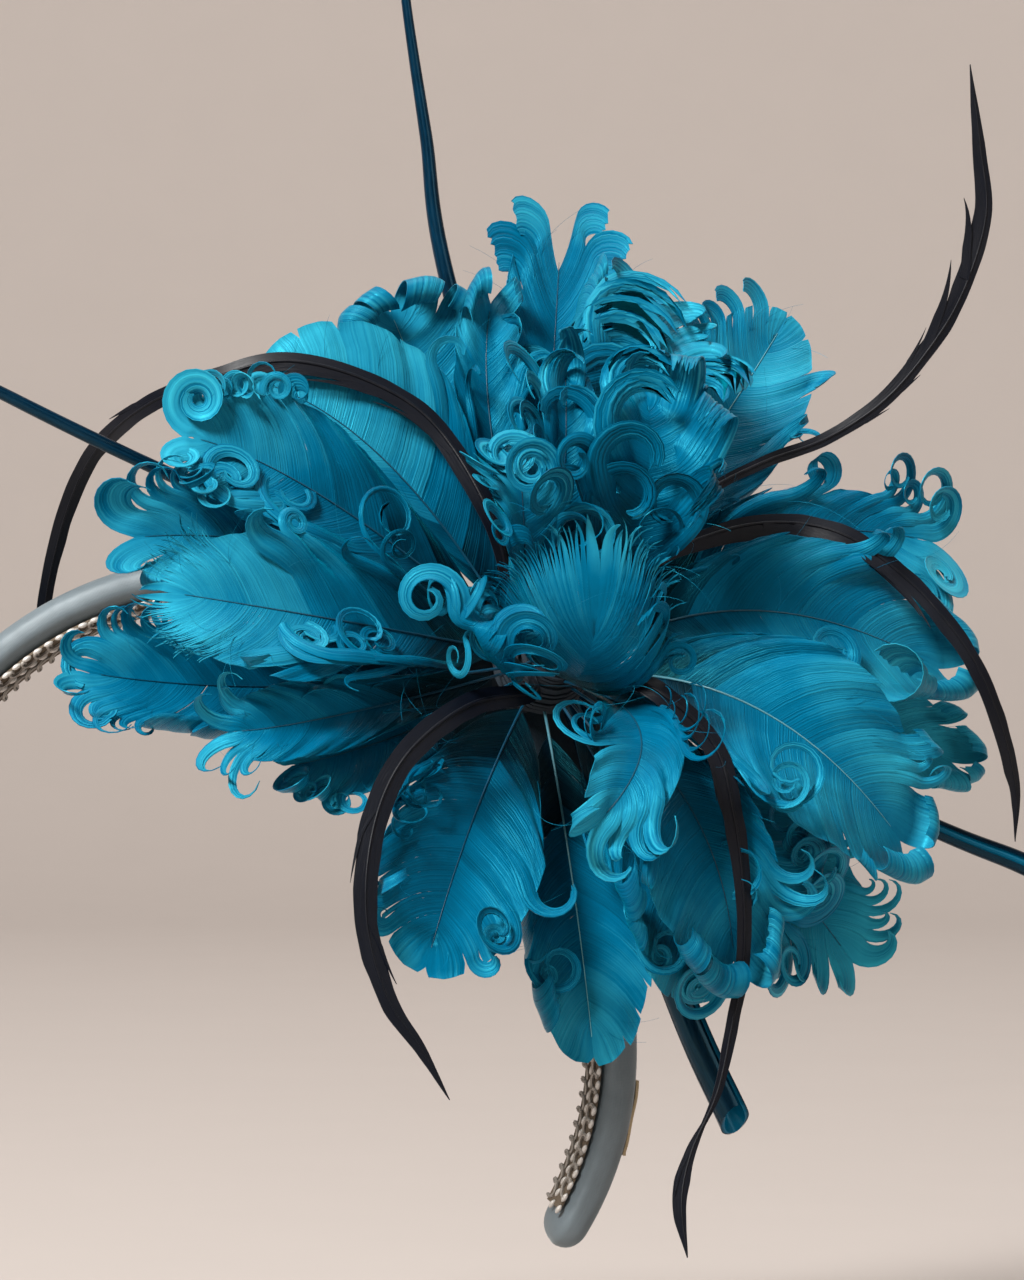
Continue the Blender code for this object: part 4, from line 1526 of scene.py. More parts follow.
    def build(self, vane: Material, shaft: Material) -> Piece:
        """Make the feather.

        Args:
            vane: Material of the barbs.
            shaft: Material of the rachis.

        Returns:
            The feather's object.
        """
        stock, sprig = Stock(), self.sprig
        sides = ((1.0, sprig.anti, sprig.anti_heroes), (-1.0, sprig.clock, sprig.clock_heroes))
        for hand, margin, heroes in sides:
            locks = self.plan_side(margin, sprig.end, heroes)
            for lock in locks:
                for strand in self.strands(lock):
                    self.add_lock(stock, strand, hand)
            self.add_hairs(stock, locks, hand)
        if sprig.shaft >= 0:
            self.add_rachis(stock)
        return stock.piece(sprig.name.replace("feather_", "curled_"), (vane, shaft))


# Band


class BandLine:
    """The band's own line from the left leg's end over the crown to the right one, as in the CAD."""

    half_width = 81.0
    widest_depth = 89.0
    bow_power = 2.12
    leg_radius = 72.0
    leg_sweep = math.radians(35)
    lean = math.radians(20)
    pad_thickness = 7.8
    inner_reach = 7.8 / 2 + 0.3 + 1.4

    def __init__(self) -> None:
        """Sample the line, with its outward and crosswise directions."""
        bow = np.linspace(-math.pi / 2, math.pi / 2, 241)[1:-1]
        leg = np.linspace(0, self.leg_sweep, 50)
        wide, power = self.half_width - self.pad_thickness / 2, 2 / self.bow_power
        rise = self.widest_depth + self.inner_reach * math.cos(self.lean)
        x = wide * np.sign(bow) * np.abs(np.sin(bow)) ** power
        z = -self.widest_depth + rise * np.cos(bow) ** power
        radius, centre = self.leg_radius - self.pad_thickness / 2, self.half_width - self.leg_radius
        leg_x = centre + radius * np.cos(leg)
        leg_z = -self.widest_depth - radius * np.sin(leg)
        line_x = np.concatenate([-leg_x[::-1], x, leg_x])
        line_z = np.concatenate([leg_z[::-1], z, leg_z])
        tangent = unit(np.stack([np.gradient(line_x), np.gradient(line_z)], axis=1))
        outward = np.stack([-tangent[:, 1], np.zeros(len(line_x)), tangent[:, 0]], axis=1)
        back = np.array([0.0, 1.0, 0.0])
        self.outward = outward * math.cos(self.lean) + back * math.sin(self.lean)
        self.across = back * math.cos(self.lean) - outward * math.sin(self.lean)
        height = np.full(len(line_x), self.inner_reach * math.sin(self.lean))
        self.line = np.stack([line_x, height, line_z], axis=1)
        moves = np.linalg.norm(np.diff(self.line, axis=0, prepend=self.line[:1]), axis=1)
        self.walked = np.cumsum(moves)
        self.length = float(self.walked[-1])

    def point(self, place: Grid, across: Grid, outward: Grid) -> Grid:
        """Find points beside the line.

        Args:
            place: Lengths along the line.
            across: How far towards the band's back edge.
            outward: How far away from the head.

        Returns:
            The points, in mm as everything here.
        """
        base, aside, out = (read_table(place, self.walked, table)
                            for table in (self.line, self.across, self.outward))
        return base + aside * across[..., None] + out * outward[..., None]


@dataclass
class Headband:
    """The satin pad, its scroll braid and the bare tape on the right leg."""

    pad_width: float = 13.0
    pad_thickness: float = 7.8
    stations: int = 220
    around: int = 40
    end_length: float = 5.0
    end_rows: int = 9
    tuck_pitches: tuple[float, ...] = (4.3, 6.1, 9.7)
    tuck_depth: float = 0.022
    bulge_pitches: tuple[float, ...] = (9.0, 23.0)
    bulge_depth: float = 0.012
    girth_radius: float = 5.4
    braid_width: float = 8.6
    braid_middle: float = -4.9
    braid_end: float = 7.0
    ground_grid: tuple[int, int] = (300, 5)
    ground_thickness: float = 0.5
    scroll_pitch: float = 3.3
    scroll_loop: float = 1.15
    scroll_height: float = 1.35
    cord_radius: float = 0.36
    bead_pitch: float = 2.7
    bead_radius: float = 0.52
    bead_points: int = 6
    tab_span: Pair = (5.0, 17.0)
    tab_width: float = 5.0
    tab_thickness: float = 0.55
    tab_grid: tuple[int, int] = (24, 9)
    stitch_rows: tuple[float, ...] = (-1.7, -0.6, 0.6, 1.7)
    stitch_radius: float = 0.13
    crown: float = 0.05
    band: BandLine = field(default_factory=BandLine)

    def build(self, satin: Material, metal: Material, tape: Material, ground: Material) -> None:
        """Make the three pieces.

        Args:
            satin: Material of the pad.
            metal: Material of the braid's cords and beads.
            tape: Material of the tape.
            ground: Material of the braid's ground.
        """
        pad = self.build_pad(satin)
        put(pad, "headband_pad")
        put(self.build_braid(metal, ground), "band_braid")
        put(self.build_tab(tape), "band_tab")

    def build_pad(self, satin: Material) -> Piece:
        """Make the round-backed pad, gathered a little towards its inner face and closed at its ends.

        Args:
            satin: Its material.

        Returns:
            The pad.
        """
        line = self.band
        close = (1 - np.cos(np.linspace(0, math.pi / 2, self.end_rows))) * self.end_length
        straight = np.linspace(self.end_length, line.length - self.end_length, self.stations)[1:-1]
        place = np.concatenate([close, straight, line.length - close[::-1]])
        end = np.minimum(place, line.length - place)
        shrink = np.sqrt(np.clip(1 - (1 - np.minimum(end / self.end_length, 1)) ** 2, 0.02, 1))
        turn = 2 * np.pi * np.arange(self.around) / self.around - np.pi / 2
        sine = np.sin(turn)
        depth = np.where(sine >= 0, sine, -np.abs(sine) ** 0.45) * self.pad_thickness / 2
        wide = np.cos(turn) * self.pad_width / 2
        chance = np.random.default_rng(5)
        phases = chance.random(5) * 6
        tuck = sum(np.sin(place * 2 * np.pi / pitch + phase) / 2
                   for pitch, phase in zip(self.tuck_pitches, phases))
        bulge = sum(np.sin(place / pitch + phase) for pitch, phase in zip(self.bulge_pitches, phases[3:]))
        gather = np.abs(np.cos(turn)) ** 3 * (sine < 0.55)
        swell = 1 + tuck[:, None] * gather[None] * self.tuck_depth + bulge[:, None] * self.bulge_depth
        rings = line.point(np.repeat(place[:, None], self.around, 1), wide * shrink[:, None] * swell,
                           depth * shrink[:, None] * swell)
        perimeter = (turn - turn[0]) * self.girth_radius
        lay = np.stack(np.broadcast_arrays(place[:, None], perimeter[None]), axis=-1)
        stock = Stock()
        stock.add_loops(rings, lay, np.zeros((*rings.shape[:2], 4)))
        return stock.piece("satin_pad", (satin,))

    def build_braid(self, metal: Material, ground: Material) -> Piece:
        """Make the scroll braid: two looped metal cords and two rows of beads over a dull ground.

        Args:
            metal: Material of the cords and beads.
            ground: Material of the ground.

        Returns:
            The braid.
        """
        line, stock = self.band, Stock()
        span = (self.braid_end, line.length - self.braid_end)
        count, rows = self.ground_grid
        half = self.braid_width / 2 - 0.5
        place, across = np.broadcast_arrays(np.linspace(*span, count)[:, None],
                                            np.linspace(-half, half, rows)[None])
        cloth = line.point(place, across, np.full(place.shape, self.braid_middle + 0.35))
        lay = np.stack([place, across], axis=-1)
        stock.add_shells(cloth[None], self.ground_thickness, lay[None], np.zeros((1, count, rows, 4)), 1)
        loops = int((span[1] - span[0]) / self.scroll_pitch)
        phase = np.linspace(0, 2 * np.pi * loops, loops * 15)
        along = span[0] + self.scroll_pitch * phase / (2 * np.pi)
        for hand in (-1, 1):
            place = along - self.scroll_loop * np.sin(phase) + hand * self.scroll_pitch / 4
            across = hand * (half - self.scroll_loop + self.scroll_height * np.cos(phase))
            lift = self.braid_middle - 0.28 - 0.24 * np.sin(phase)
            cord = line.point(place, across, lift)
            tints = np.tile((0.0, 0.15, 0.0, 0.0), (len(phase), 1))
            stock.add_tubes(cord[None], np.full((1, len(phase)), self.cord_radius), 5, tints[None])
        self.add_beads(stock, span)
        return stock.piece("scroll_braid", (metal, ground))

    def add_beads(self, stock: Stock, span: Pair) -> None:
        """Add bright knots of thread along the front edge and the middle of the braid.

        Args:
            stock: The braid's stock.
            span: Where the braid starts and stops along the band.
        """
        count = int((span[1] - span[0]) / self.bead_pitch)
        place = np.linspace(*span, count)
        ends = np.linspace(-1, 1, self.bead_points)
        radii = self.bead_radius * np.sqrt(1 - (ends * 0.94) ** 2)
        for across in (-(self.braid_width / 2 - 0.35), 0.1):
            along = place[:, None] + ends[None]
            sideways = across + 0.25 * ends[None] + np.zeros_like(along)
            line = self.band.point(along, sideways, np.full_like(along, self.braid_middle))
            tints = np.tile((0.0, 1.0, 0.0, 0.0), (count, self.bead_points, 1))
            stock.add_tubes(line, np.repeat(radii[None], count, 0), 7, tints)

    def build_tab(self, tape: Material) -> Piece:
        """Make the bare tape, a little uneven, held by a few stitches at both ends.

        Args:
            tape: Its material.

        Returns:
            The tape.
        """
        line, stock = self.band, Stock()
        leg_start = line.length - line.leg_sweep * (line.leg_radius - line.pad_thickness / 2)
        radius = line.leg_radius - line.pad_thickness / 2
        first, last = (leg_start + math.radians(angle) * radius for angle in self.tab_span)
        count, wide = self.tab_grid
        place, rows = np.broadcast_arrays(
            np.linspace(first, last, count)[:, None],
            np.linspace(-self.tab_width / 2, self.tab_width / 2, wide)[None])
        lift = self.pad_thickness / 2 + 0.55 + 0.12 * np.sin(np.linspace(0, 9, count))
        lift[-1] += 0.25
        grid = line.point(place, rows, lift[:, None] - self.crown * rows ** 2)
        lay = np.stack([place, rows], axis=-1)
        stock.add_shells(grid[None], self.tab_thickness, lay[None], np.zeros((1, count, wide, 4)))
        across = np.array(self.stitch_rows)[:, None] + np.zeros(6)
        for middle in (first + 1.0, last - 1.0):
            along = middle + np.linspace(-0.7, 0.7, 6)[None] + np.zeros((len(across), 1))
            bow = self.pad_thickness / 2 + 0.78 + 0.16 * np.sin(np.linspace(0, np.pi, 6))[None]
            lines = line.point(along, across, bow - self.crown * across ** 2)
            stock.add_tubes(lines, np.full(along.shape, self.stitch_radius), 5, np.zeros((*along.shape, 4)))
        return stock.piece("bare_tape", (tape,))


# Base and binding


@dataclass
class FlowerSeat:
    """The felt disc with its blanket stitches, and the thread-wound bunch of quill ends."""

    disc: tuple[Pair, ...] = (
        (5.0, 0.5), (5.0, 12.0), (5.05, 20.6), (5.5, 21.7), (6.2, 22.0), (7.0, 21.7), (7.45, 20.6),
        (7.5, 12.0), (7.5, 0.5),
    )
    disc_sides: int = 84
    disc_rough: float = 0.06
    stitches: int = 46
    stitch: tuple[Pair, ...] = (
        (7.62, 19.0), (7.68, 20.4), (7.3, 21.9), (6.2, 22.25), (5.1, 21.9), (4.8, 20.4),
    )
    stitch_radius: float = 0.2
    core_sides: int = 32
    thread_radius: float = 0.42
    wind_pitch: float = 0.86

    def build(self, felt: Material, thread: Material) -> None:
        """Make the two pieces."""
        put(self.build_disc(felt, thread), "flower_base")
        put(self.build_binding(thread), "stem_binding")

    @staticmethod
    def turning(profile: Sequence[Pair], sides: int, chance: np.random.Generator,
                rough: float) -> Grid:
        """Turn a profile about the flower's axis and roughen it a little.

        Args:
            profile: Lifts with a radius each.
            sides: Points in a ring.
            chance: Where the roughness comes from.
            rough: Its spread in mm.

        Returns:
            Points with shape (rings, sides, 3).
        """
        rings = []
        for lift, radius in profile:
            wobble = radius + chance.normal(0, rough, sides)
            rings.append([Flower.point(360 * side / sides, wobble[side], lift) for side in range(sides)])
        return np.array(rings)

    def build_disc(self, felt: Material, thread: Material) -> Piece:
        """Make the disc with its stitched edge.

        Args:
            felt: Material of the disc.
            thread: Material of the stitches.

        Returns:
            The disc.
        """
        chance = np.random.default_rng(11)
        rings = self.turning(self.disc, self.disc_sides, chance, self.disc_rough)
        stock = Stock()
        stock.add_loops(rings, rings[..., [0, 2]], np.zeros((*rings.shape[:2], 4)))
        loops = []
        for index in range(self.stitches):
            clock = 360 * (index + chance.normal(0, 0.08)) / self.stitches
            loops.append([Flower.point(clock, reach, lift) for lift, reach in self.stitch])
        lines = np.array(loops)
        shape = lines.shape[:2]
        stock.add_tubes(lines, np.full(shape, self.stitch_radius), 5, np.zeros((*shape, 4)), 1)
        return stock.piece("felt_disc", (felt, thread))

    def build_binding(self, thread: Material) -> Piece:
        """Make the core and the thread wound round it.

        Args:
            thread: Their material.

        Returns:
            The binding.
        """
        chance = np.random.default_rng(12)
        stock = Stock()
        core = tuple((lift, radius - 0.35) for lift, radius in Flower.stem)
        rings = self.turning(core, self.core_sides, chance, 0.0)
        stock.add_loops(rings, rings[..., [0, 2]], np.zeros((*rings.shape[:2], 4)))
        low, high = Flower.stem[0][0] + 0.4, Flower.stem[-1][0] - 0.3
        turns = (high - low) / self.wind_pitch
        steps = int(turns * 20)
        clock = np.linspace(0, 360 * turns, steps)
        lift = np.linspace(low, high, steps) + 0.25 * np.sin(clock / 90)
        radius = np.interp(lift, *zip(*Flower.stem)) + 0.02 + chance.normal(0, 0.02, steps)
        line = np.array([Flower.point(*spot) for spot in zip(clock, radius, lift)])
        stock.add_tubes(line[None], np.full((1, steps), self.thread_radius), 5, np.zeros((1, steps, 4)))
        return stock.piece("wound_binding", (thread,))


# Blades


@dataclass(frozen=True)
class Wisp:
    """A bundle of barbs split off a blade at a share of its length, to the side hand, 1 or -1.

    Length and width are in mm, spread in degrees, and lift is how high its end stands off the vane.
    """

    share: float
    hand: int
    length: float
    spread: float
    width: float = 1.5
    lift: float = 0.3


@dataclass(frozen=True)
class BladeRow:
    """A long dark blade: its root, its route, its widths at shares of its length, and its wisps.

    Root is a clock and a lift. A row of widths holds the share, the width on the side of hand 1 and the
    other one. The painted sheen says how much brown-grey sheen is painted into the blade's colour.
    """

    name: str
    root: Pair
    route: tuple[Triple, ...]
    widths: tuple[Triple, ...]
    wisps: tuple[Wisp, ...] = ()
    # How much painted brown-grey sheen the blade's colour gets.
    painted_sheen: float = 0.5


COMB = tuple(
    Wisp(0.16 + 0.024 * step, 1, 30 - 0.6 * step, 5.5 - 0.25 * step, 1.3, 0.5 + 0.04 * step)
    for step in range(11)
)
BLADES = (
    BladeRow(
        "blade_left_arch", (140, 29),
        ((53, -33, 15), (42, -28, 34), (29, -28, 43), (13, -30, 47), (-1, -29, 44), (-15, -20, 39),
         (-26, -6, 31), (-33, 4, 19), (-38, 11, 1), (-38, 13, -9)),
        ((0, 1.2, 1.2), (0.2, 2.3, 2.3), (0.5, 1.9, 1.9), (0.8, 1.8, 1.8), (1, 1.4, 1.3)),
        (Wisp(0.22, -1, 20, 5, 1.0), Wisp(0.3, -1, 22, 5, 1.2), Wisp(0.36, -1, 18, 4, 1.0),
         Wisp(0.62, 1, 12, 4, 0.9)),
        0.55,
    ),
    BladeRow(
        "blade_down_left", (222, 31),
        ((60, -53, -17), (49, -64, -19), (39, -72, -26), (33, -77, -35), (30, -83, -47), (30, -86, -60),
         (34, -88, -73), (40, -88, -82), (45, -88, -91)),
        ((0, 1.0, 1.0), (0.3, 2.4, 2.4), (0.6, 2.5, 2.5), (0.8, 1.9, 2.1), (0.93, 1.1, 0.9),
         (1, 0.05, 0.05)),
        (Wisp(0.55, 1, 14, 4, 0.8), Wisp(0.72, -1, 12, 4, 0.8)),
        0.15,
    ),
    BladeRow(
        "blade_right_arch", (38, 28),
        ((77, -31, 8), (93, -17, 21), (106, -8, 28), (119, -3, 33), (131, -3, 41), (141, -3, 53),
         (147, -3, 64), (151, -2, 78), (150, -1, 91), (148, 0, 108)),
        ((0, 0.9, 0.9), (0.3, 1.1, 1.0), (0.5, 1.3, 1.5), (0.68, 1.4, 2.2), (0.80, 1.3, 2.6),
         (0.9, 1.2, 1.7), (1, 0.05, 0.05)),
        (Wisp(0.63, -1, 19, 9, 1.9, 0.4), Wisp(0.58, -1, 12, 7, 0.8, 0.3), Wisp(0.73, -1, 17, 10, 2.0, 0.4),
         Wisp(0.5, 1, 8, 6, 0.6), Wisp(0.56, 1, 7, 6, 0.5)),
        0.9,
    ),
    BladeRow(
        "blade_right_droop", (15, 31),
        ((81, -31, 6), (97, -20, 14), (111, -14, 16), (123, -15, 13), (135, -16, 4), (142, -18, -4),
         (148, -18, -13), (153, -15, -25), (156, -11, -37), (156, -10, -47)),
        ((0, 1.0, 1.0), (0.3, 1.9, 1.7), (0.5, 2.3, 2.4), (0.62, 1.9, 2.2), (0.75, 1.9, 1.9),
         (0.9, 1.7, 1.5), (1, 0.05, 0.05)),
        COMB + (Wisp(0.45, 1, 26, 4, 1.5), Wisp(0.5, 1, 22, 5, 1.5, 0.6)),
        0.6,
    ),
    BladeRow(
        "blade_down_right", (300, 33),
        ((81, -54, -15), (94, -55, -26), (98, -57, -39), (100, -57, -54), (100, -56, -68), (98, -57, -79),
         (95, -60, -92), (90, -63, -103), (88, -67, -112), (89, -70, -122)),
        ((0, 1.0, 1.0), (0.2, 2.4, 2.2), (0.4, 2.3, 2.1), (0.55, 1.4, 1.5), (0.72, 1.1, 1.3),
         (0.82, 0.45, 0.5), (0.9, 1.7, 1.3), (0.95, 1.6, 0.9), (1, 0.05, 0.1)),
        (Wisp(0.28, 1, 16, 3.5, 1.0), Wisp(0.86, 1, 9, 4, 0.5)),
        0.45,
    ),
)


@dataclass
class TailBlade:
    """Builds one dark blade: a flattened shaft, two narrow vanes and the barbs that have split off."""

    row: BladeRow
    seed: int
    stations: int = 110
    columns: int = 5
    thickness: float = 0.24
    droop: float = 0.16
    shaft_radius: float = 0.62
    shaft_proud: float = 0.12
    shaft_flat: float = 0.8
    edge_knots: int = 40
    edge_rough: float = 0.05
    barb_slant: float = 3.5
    wisp_rows: int = 12
    wisp_columns: int = 4

    def build(self, dark: Material, shaft: Material) -> Piece:
        """Make the blade.

        Args:
            dark: Material of the vanes.
            shaft: Material of the shaft.

        Returns:
            The blade's object.
        """
        row, chance = self.row, np.random.default_rng(self.seed)
        route = smooth_route([Flower.root(*row.root), *row.route], self.stations)
        along = unit(np.gradient(route, axis=0))
        side = unit(np.cross(along, Flower.face))
        front = np.cross(side, along)
        walked = np.cumsum(np.linalg.norm(np.diff(route, axis=0, prepend=route[:1]), axis=1))
        share = walked / walked[-1]
        table = np.array(row.widths)
        stock = Stock()
        for hand in (1, -1):
            wide = np.interp(share, table[:, 0], table[:, 1 if hand > 0 else 2])
            knots = np.linspace(0, 1, self.edge_knots)
            rough = np.interp(share, knots, chance.normal(0, 1, self.edge_knots))
            wide = wide * (1 + self.edge_rough * rough)
            across = np.linspace(0, 1, self.columns)
            reach = wide[:, None] * across[None]
            grid = (route[:, None] + hand * side[:, None] * reach[..., None]
                    - front[:, None] * (self.droop * reach)[..., None])
            lay = np.stack([walked[:, None] - self.barb_slant * reach, reach], axis=-1)
            tints = self.tints(share, across, row.painted_sheen)
            if hand > 0:
                grid, lay, tints = grid[:, ::-1], lay[:, ::-1], tints[:, ::-1]
            stock.add_shells(grid[None], self.thickness, lay[None], tints[None])
        for wisp in row.wisps:
            self.add_wisp(stock, wisp, (route, side, front, walked, share), chance)
        radii = self.shaft_radius * (1 - 0.85 * share ** 0.7)
        line = route + front * self.shaft_proud
        tints = self.tints(share, np.zeros(1), row.painted_sheen)[:, 0]
        stock.add_tubes(line[None], radii[None], 8, tints[None], 1, self.shaft_flat)
        return stock.piece(row.name.replace("blade_", "dark_"), (dark, shaft))

    @staticmethod
    def tints(share: Grid, across: Grid, painted_sheen: float) -> Grid:
        """Make attribute values over a vane: place along it, painted sheen, back face and place across it.

        Args:
            share: Places along the vane.
            across: Places across it.
            painted_sheen: How much brown-grey sheen is painted into the colour.

        Returns:
            Values with shape (places along, places across, 4).
        """
        tints = np.zeros((len(share), len(across), 4))
        tints[..., 0] = share[:, None]
        tints[..., 1] = painted_sheen
        tints[..., 3] = across[None]
        return tints

    def add_wisp(self, stock: Stock, wisp: Wisp, line: tuple[Grid, ...],
                 chance: np.random.Generator) -> None:
        """Add a pointed bundle that leaves the vane at a shallow angle.

        Args:
            stock: The blade's stock.
            wisp: The bundle.
            line: The blade's route, its side and front directions, the lengths walked and their shares.
            chance: Where its height comes from.
        """
        route, side, front, walked, share = line
        begin = float(np.interp(wisp.share, share, walked))
        travel = np.linspace(0, 1, self.wisp_rows)
        place = begin + travel * wisp.length
        table = np.array(self.row.widths)
        column = 1 if wisp.hand > 0 else 2
        half = np.interp(wisp.share, table[:, 0], table[:, column])
        spread = math.tan(math.radians(wisp.spread)) * wisp.length
        base, aside, up = (read_table(place, walked, table)[:, None] for table in (route, side, front))
        centre = 0.35 * half + (0.45 * half) * np.minimum(travel * 3, 1) + spread * travel ** 1.7
        width = wisp.width * (1 - travel ** 1.8) * 0.5 + 0.03
        over = np.linspace(-1, 1, self.wisp_columns)
        reach = centre[:, None] + width[:, None] * over[None]
        lift = wisp.lift * (0.3 + travel) + chance.normal(0, 0.1)
        grid = (base + wisp.hand * aside * reach[..., None]
                + up * (lift[:, None] - self.droop * reach)[..., None])
        lay = np.stack(np.broadcast_arrays(place[:, None], over[None] * wisp.width), axis=-1)
        tints = self.tints(travel, over, self.row.painted_sheen * 0.6)
        if wisp.hand > 0:
            grid, lay, tints = grid[:, ::-1], lay[:, ::-1], tints[:, ::-1]
        stock.add_shells(grid[None], self.thickness * 0.8, lay[None], tints[None])


# Quills


@dataclass(frozen=True)
class QuillRow:
    """A stripped quill: points with radii, the slit's direction and opening in degrees, and its core."""

    name: str
    bars: tuple[tuple[float, float, float, float], ...]
    slit_at: float
    slit_open: float
    core_bright: float


QUILLS = (
    QuillRow(
        "quill_across",
        ((-52, -38, 46, 1.1), (-43, -36, 41, 1.25), (-10, -29, 25, 1.4), (64, -13, -8.2, 1.7),
         (135, 2.5, -42, 1.9), (159, 8, -52, 2.2), (171, 10, -58, 2.3)),
        10, 46, 1.0,
    ),
    QuillRow(
        "quill_upright",
        ((34, 14, 136, 1.0), (35, 12, 122, 1.0), (39, 8, 95, 1.3), (44, 3, 63, 1.7), (67, -9, -15, 2.3),
         (89, -17, -76, 3.2), (101, -21, -103, 3.4)),
        -38, 62, 0.0,
    ),
)


@dataclass
class SplitQuill:
    """Builds one quill as a slit tube round a core, open at its cut end."""

    row: QuillRow
    stations: int = 90
    around: int = 30
    wall: float = 0.26
    core_share: float = 0.52
    core_short: float = 9.0
    cut: float = 1.3
    cut_from: float = 0.93
    cut_over: float = 0.07
    slit_from: float = 0.32
    slit_over: float = 0.45
    edge_roll: float = 0.10
    edge_roll_over: float = 0.08

    def build(self, gloss: Material) -> Piece:
        """Make the quill.

        Args:
            gloss: Its material.

        Returns:
            The quill.
        """
        row = self.row
        bars = np.array(row.bars)
        route = smooth_route(bars[:, :3], self.stations)
        radius = smooth_route(bars[:, 3:], self.stations)[:, 0]
        along = unit(np.gradient(route, axis=0))
        side = unit(np.cross(along, Flower.face))
        front = np.cross(side, along)
        walked = np.cumsum(np.linalg.norm(np.diff(route, axis=0, prepend=route[:1]), axis=1))
        share = walked / walked[-1]
        gap = np.radians(row.slit_open) / 2 * smoothstep((share - self.slit_from) / self.slit_over) + 0.02
        round_share = np.linspace(0, 1, self.around)[None]
        turn = round_share * (2 * np.pi - 2 * gap[:, None]) + gap[:, None]
        turn = turn + math.radians(row.slit_at)
        middle = radius * (1 - self.wall / 2)
        rolled = 1 - self.edge_roll * np.exp(-((round_share - 1) / self.edge_roll_over) ** 2)
        around = front[:, None] * np.cos(turn)[..., None] + side[:, None] * np.sin(turn)[..., None]
        grid = route[:, None] + around * (middle[:, None] * rolled)[..., None]
        trimmed = smoothstep((share - self.cut_from) / self.cut_over)[:, None]
        trim = self.cut * radius[:, None] * trimmed * (0.5 + 0.5 * np.cos(turn))
        grid = grid - along[:, None] * trim[..., None]
        lay = np.stack(np.broadcast_arrays(walked[:, None], turn * radius[:, None]), axis=-1)
        tints = np.zeros((*grid.shape[:2], 4))
        tints[..., 0] = share[:, None]
        # Painted light: the side 1.2 radians round from the front is lighter and the opposite side darker.
        tints[..., 1] = 0.5 + 0.5 * np.cos(turn - 1.2)
        stock = Stock()
        thickness = np.broadcast_to((radius * self.wall)[:, None], grid.shape[:2])
        stock.add_shells(*(part[None, :, ::-1] for part in (grid, thickness, lay, tints)))
        keep = walked < walked[-1] - self.core_short
        core_tints = np.zeros((int(keep.sum()), 4))
        core_tints[:, 2] = row.core_bright * smoothstep((share[keep] - 0.3) / 0.3)
        core = route[keep] + front[keep] * (radius[keep] * 0.1)[:, None]
        stock.add_tubes(core[None], (radius[keep] * self.core_share)[None], 12, core_tints[None])
        return stock.piece(row.name.replace("quill_", "shaft_"), (gloss,))


# Studio


@dataclass(frozen=True)
class Lamp:
    """One soft box: where it stands, what it points at, its size and its strength."""

    name: str
    place: Triple
    aim: Triple
    size: Pair
    watts: float
    colour: Colour = (1.0, 1.0, 1.0)


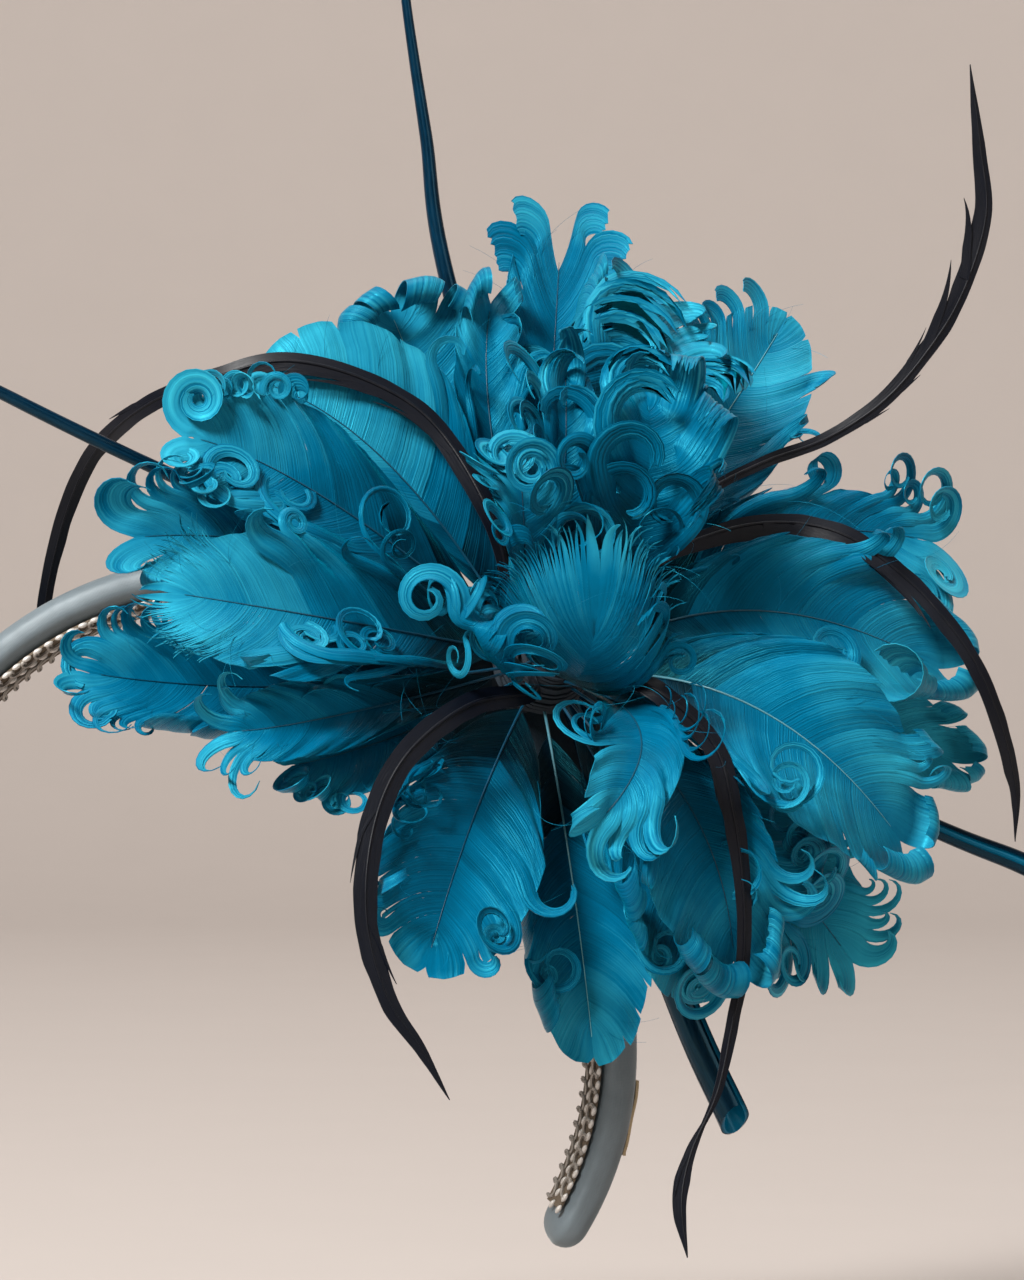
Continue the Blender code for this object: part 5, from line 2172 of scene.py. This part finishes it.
@dataclass
class Studio:
    """Round pale cove, soft boxes and the camera.

    Lengths are in metres, but the focal length is in pixels of a picture 1280 pixels tall and the
    sensor's size in millimetres.
    """

    floor_drop: float = 0.16
    cove_radius: float = 2.6
    cove_round: float = 0.9
    cove_height: float = 3.2
    cove_turns: int = 97
    camera_place: Triple = (0.0564, -1.0, -0.0071)
    pixels_tall: int = 1280
    focal_pixels: float = 5000.0
    sensor: float = 36.0
    air: Colour = (0.86, 0.83, 0.80)
    air_strength: float = 0.05
    lamps: tuple[Lamp, ...] = (
        Lamp("key", (-0.75, -1.15, 1.25), (0.06, -0.02, 0.0), (0.5, 0.5), 66.0, (1.0, 0.985, 0.96)),
        Lamp("fill", (1.4, -1.3, 0.9), (0.06, -0.02, 0.0), (0.8, 0.8), 3.5),
        Lamp("top", (0.1, 0.1, 1.7), (0.06, -0.02, 0.0), (1.2, 1.2), 9.0),
        Lamp("wash", (0.0, 0.7, 1.9), (0.0, 2.7, 0.9), (1.6, 0.8), 28.0, (1.0, 0.97, 0.94)),
    )

    def build(self) -> None:
        """Make the cove, the lamps and the camera."""
        self.build_cove()
        for lamp in self.lamps:
            self.build_lamp(lamp)
        self.build_camera()
        world = bpy.data.worlds.new("studio_air")
        world.use_nodes = True
        backdrop = world.node_tree.nodes["Background"]
        backdrop.inputs["Color"].default_value = (*self.air, 1.0)
        backdrop.inputs["Strength"].default_value = self.air_strength
        bpy.context.scene.world = world
        bpy.context.scene.view_settings.view_transform = "Standard"

    def build_cove(self) -> None:
        """Make the floor that turns up into a round wall."""
        bend = np.linspace(0, math.pi / 2, 12)
        flat = self.cove_radius - self.cove_round
        turning = flat + self.cove_round * np.sin(bend)
        rising = self.cove_round * (1 - np.cos(bend))
        radii = np.concatenate([[0.0002, flat / 2], turning, [self.cove_radius]])
        rise = np.concatenate([[0.0, 0.0], rising, [self.cove_height]])
        turn = np.linspace(0, 2 * math.pi, self.cove_turns)
        grid = np.stack([
            np.outer(radii, np.cos(turn)), np.outer(radii, np.sin(turn)),
            np.repeat(rise[:, None], self.cove_turns, axis=1) - self.floor_drop,
        ], axis=-1) / MM
        index = np.arange(len(radii) * self.cove_turns).reshape(len(radii), self.cove_turns)
        corners = (index[:-1, :-1], index[:-1, 1:], index[1:, 1:], index[1:, :-1])
        quads = np.stack([corner.ravel() for corner in corners], axis=1)
        stock = Stock()
        points = grid.reshape(-1, 3)
        stock.add(points, quads, points[:, :2], np.ones((len(points), 4)))
        cove = stock.piece("studio_cove", (StudioFinish().material(),))

    def build_lamp(self, lamp: Lamp) -> None:
        """Hang one soft box, turned to its aim.

        Args:
            lamp: The soft box.
        """
        light = bpy.data.lights.new(lamp.name, "AREA")
        light.shape = "RECTANGLE"
        light.size, light.size_y = lamp.size
        light.energy = lamp.watts
        light.color = lamp.colour
        holder = bpy.data.objects.new(lamp.name, light)
        holder.location = lamp.place
        aim = Vector(lamp.aim) - Vector(lamp.place)
        holder.rotation_euler = aim.to_track_quat("-Z", "Y").to_euler()
        bpy.context.scene.collection.objects.link(holder)

    def build_camera(self) -> None:
        """Look straight along +Y, level, from a metre in front of the band."""
        lens = bpy.data.cameras.new("camera")
        lens.sensor_width = self.sensor
        lens.lens = self.focal_pixels / self.pixels_tall * self.sensor
        camera = bpy.data.objects.new("camera", lens)
        camera.location = self.camera_place
        camera.rotation_euler = (math.pi / 2, 0.0, 0.0)
        bpy.context.scene.collection.objects.link(camera)
        bpy.context.scene.camera = camera


def main() -> None:
    """Build the pieces in order."""
    logging.basicConfig(level=logging.INFO, format="%(message)s")
    Studio().build()
    thread, ground = NAVY_THREAD.material(), BRAID_GROUND.material()
    tape, felt = GOLD_TAPE.material(), NAVY_FELT.material()
    metal = MetalThreadFinish().material()
    Headband().build(SatinFinish().material(), metal, tape, ground)
    FlowerSeat().build(felt, thread)
    dark, gloss, dark_shaft = BladeFinish().material(), QuillFinish().material(), BLADE_SHAFT.material()
    for seed, row in enumerate(BLADES):
        put(TailBlade(row, seed).build(dark, dark_shaft), row.name)
    for quill in QUILLS:
        put(SplitQuill(quill).build(gloss), quill.name)
    vane, shaft = VaneFinish().material(), RachisFinish().material()
    for seed, sprig in enumerate(SPRIGS):
        put(CurledFeather(sprig, seed).build(vane, shaft), sprig.name)


if __name__ == "__main__":
    main()
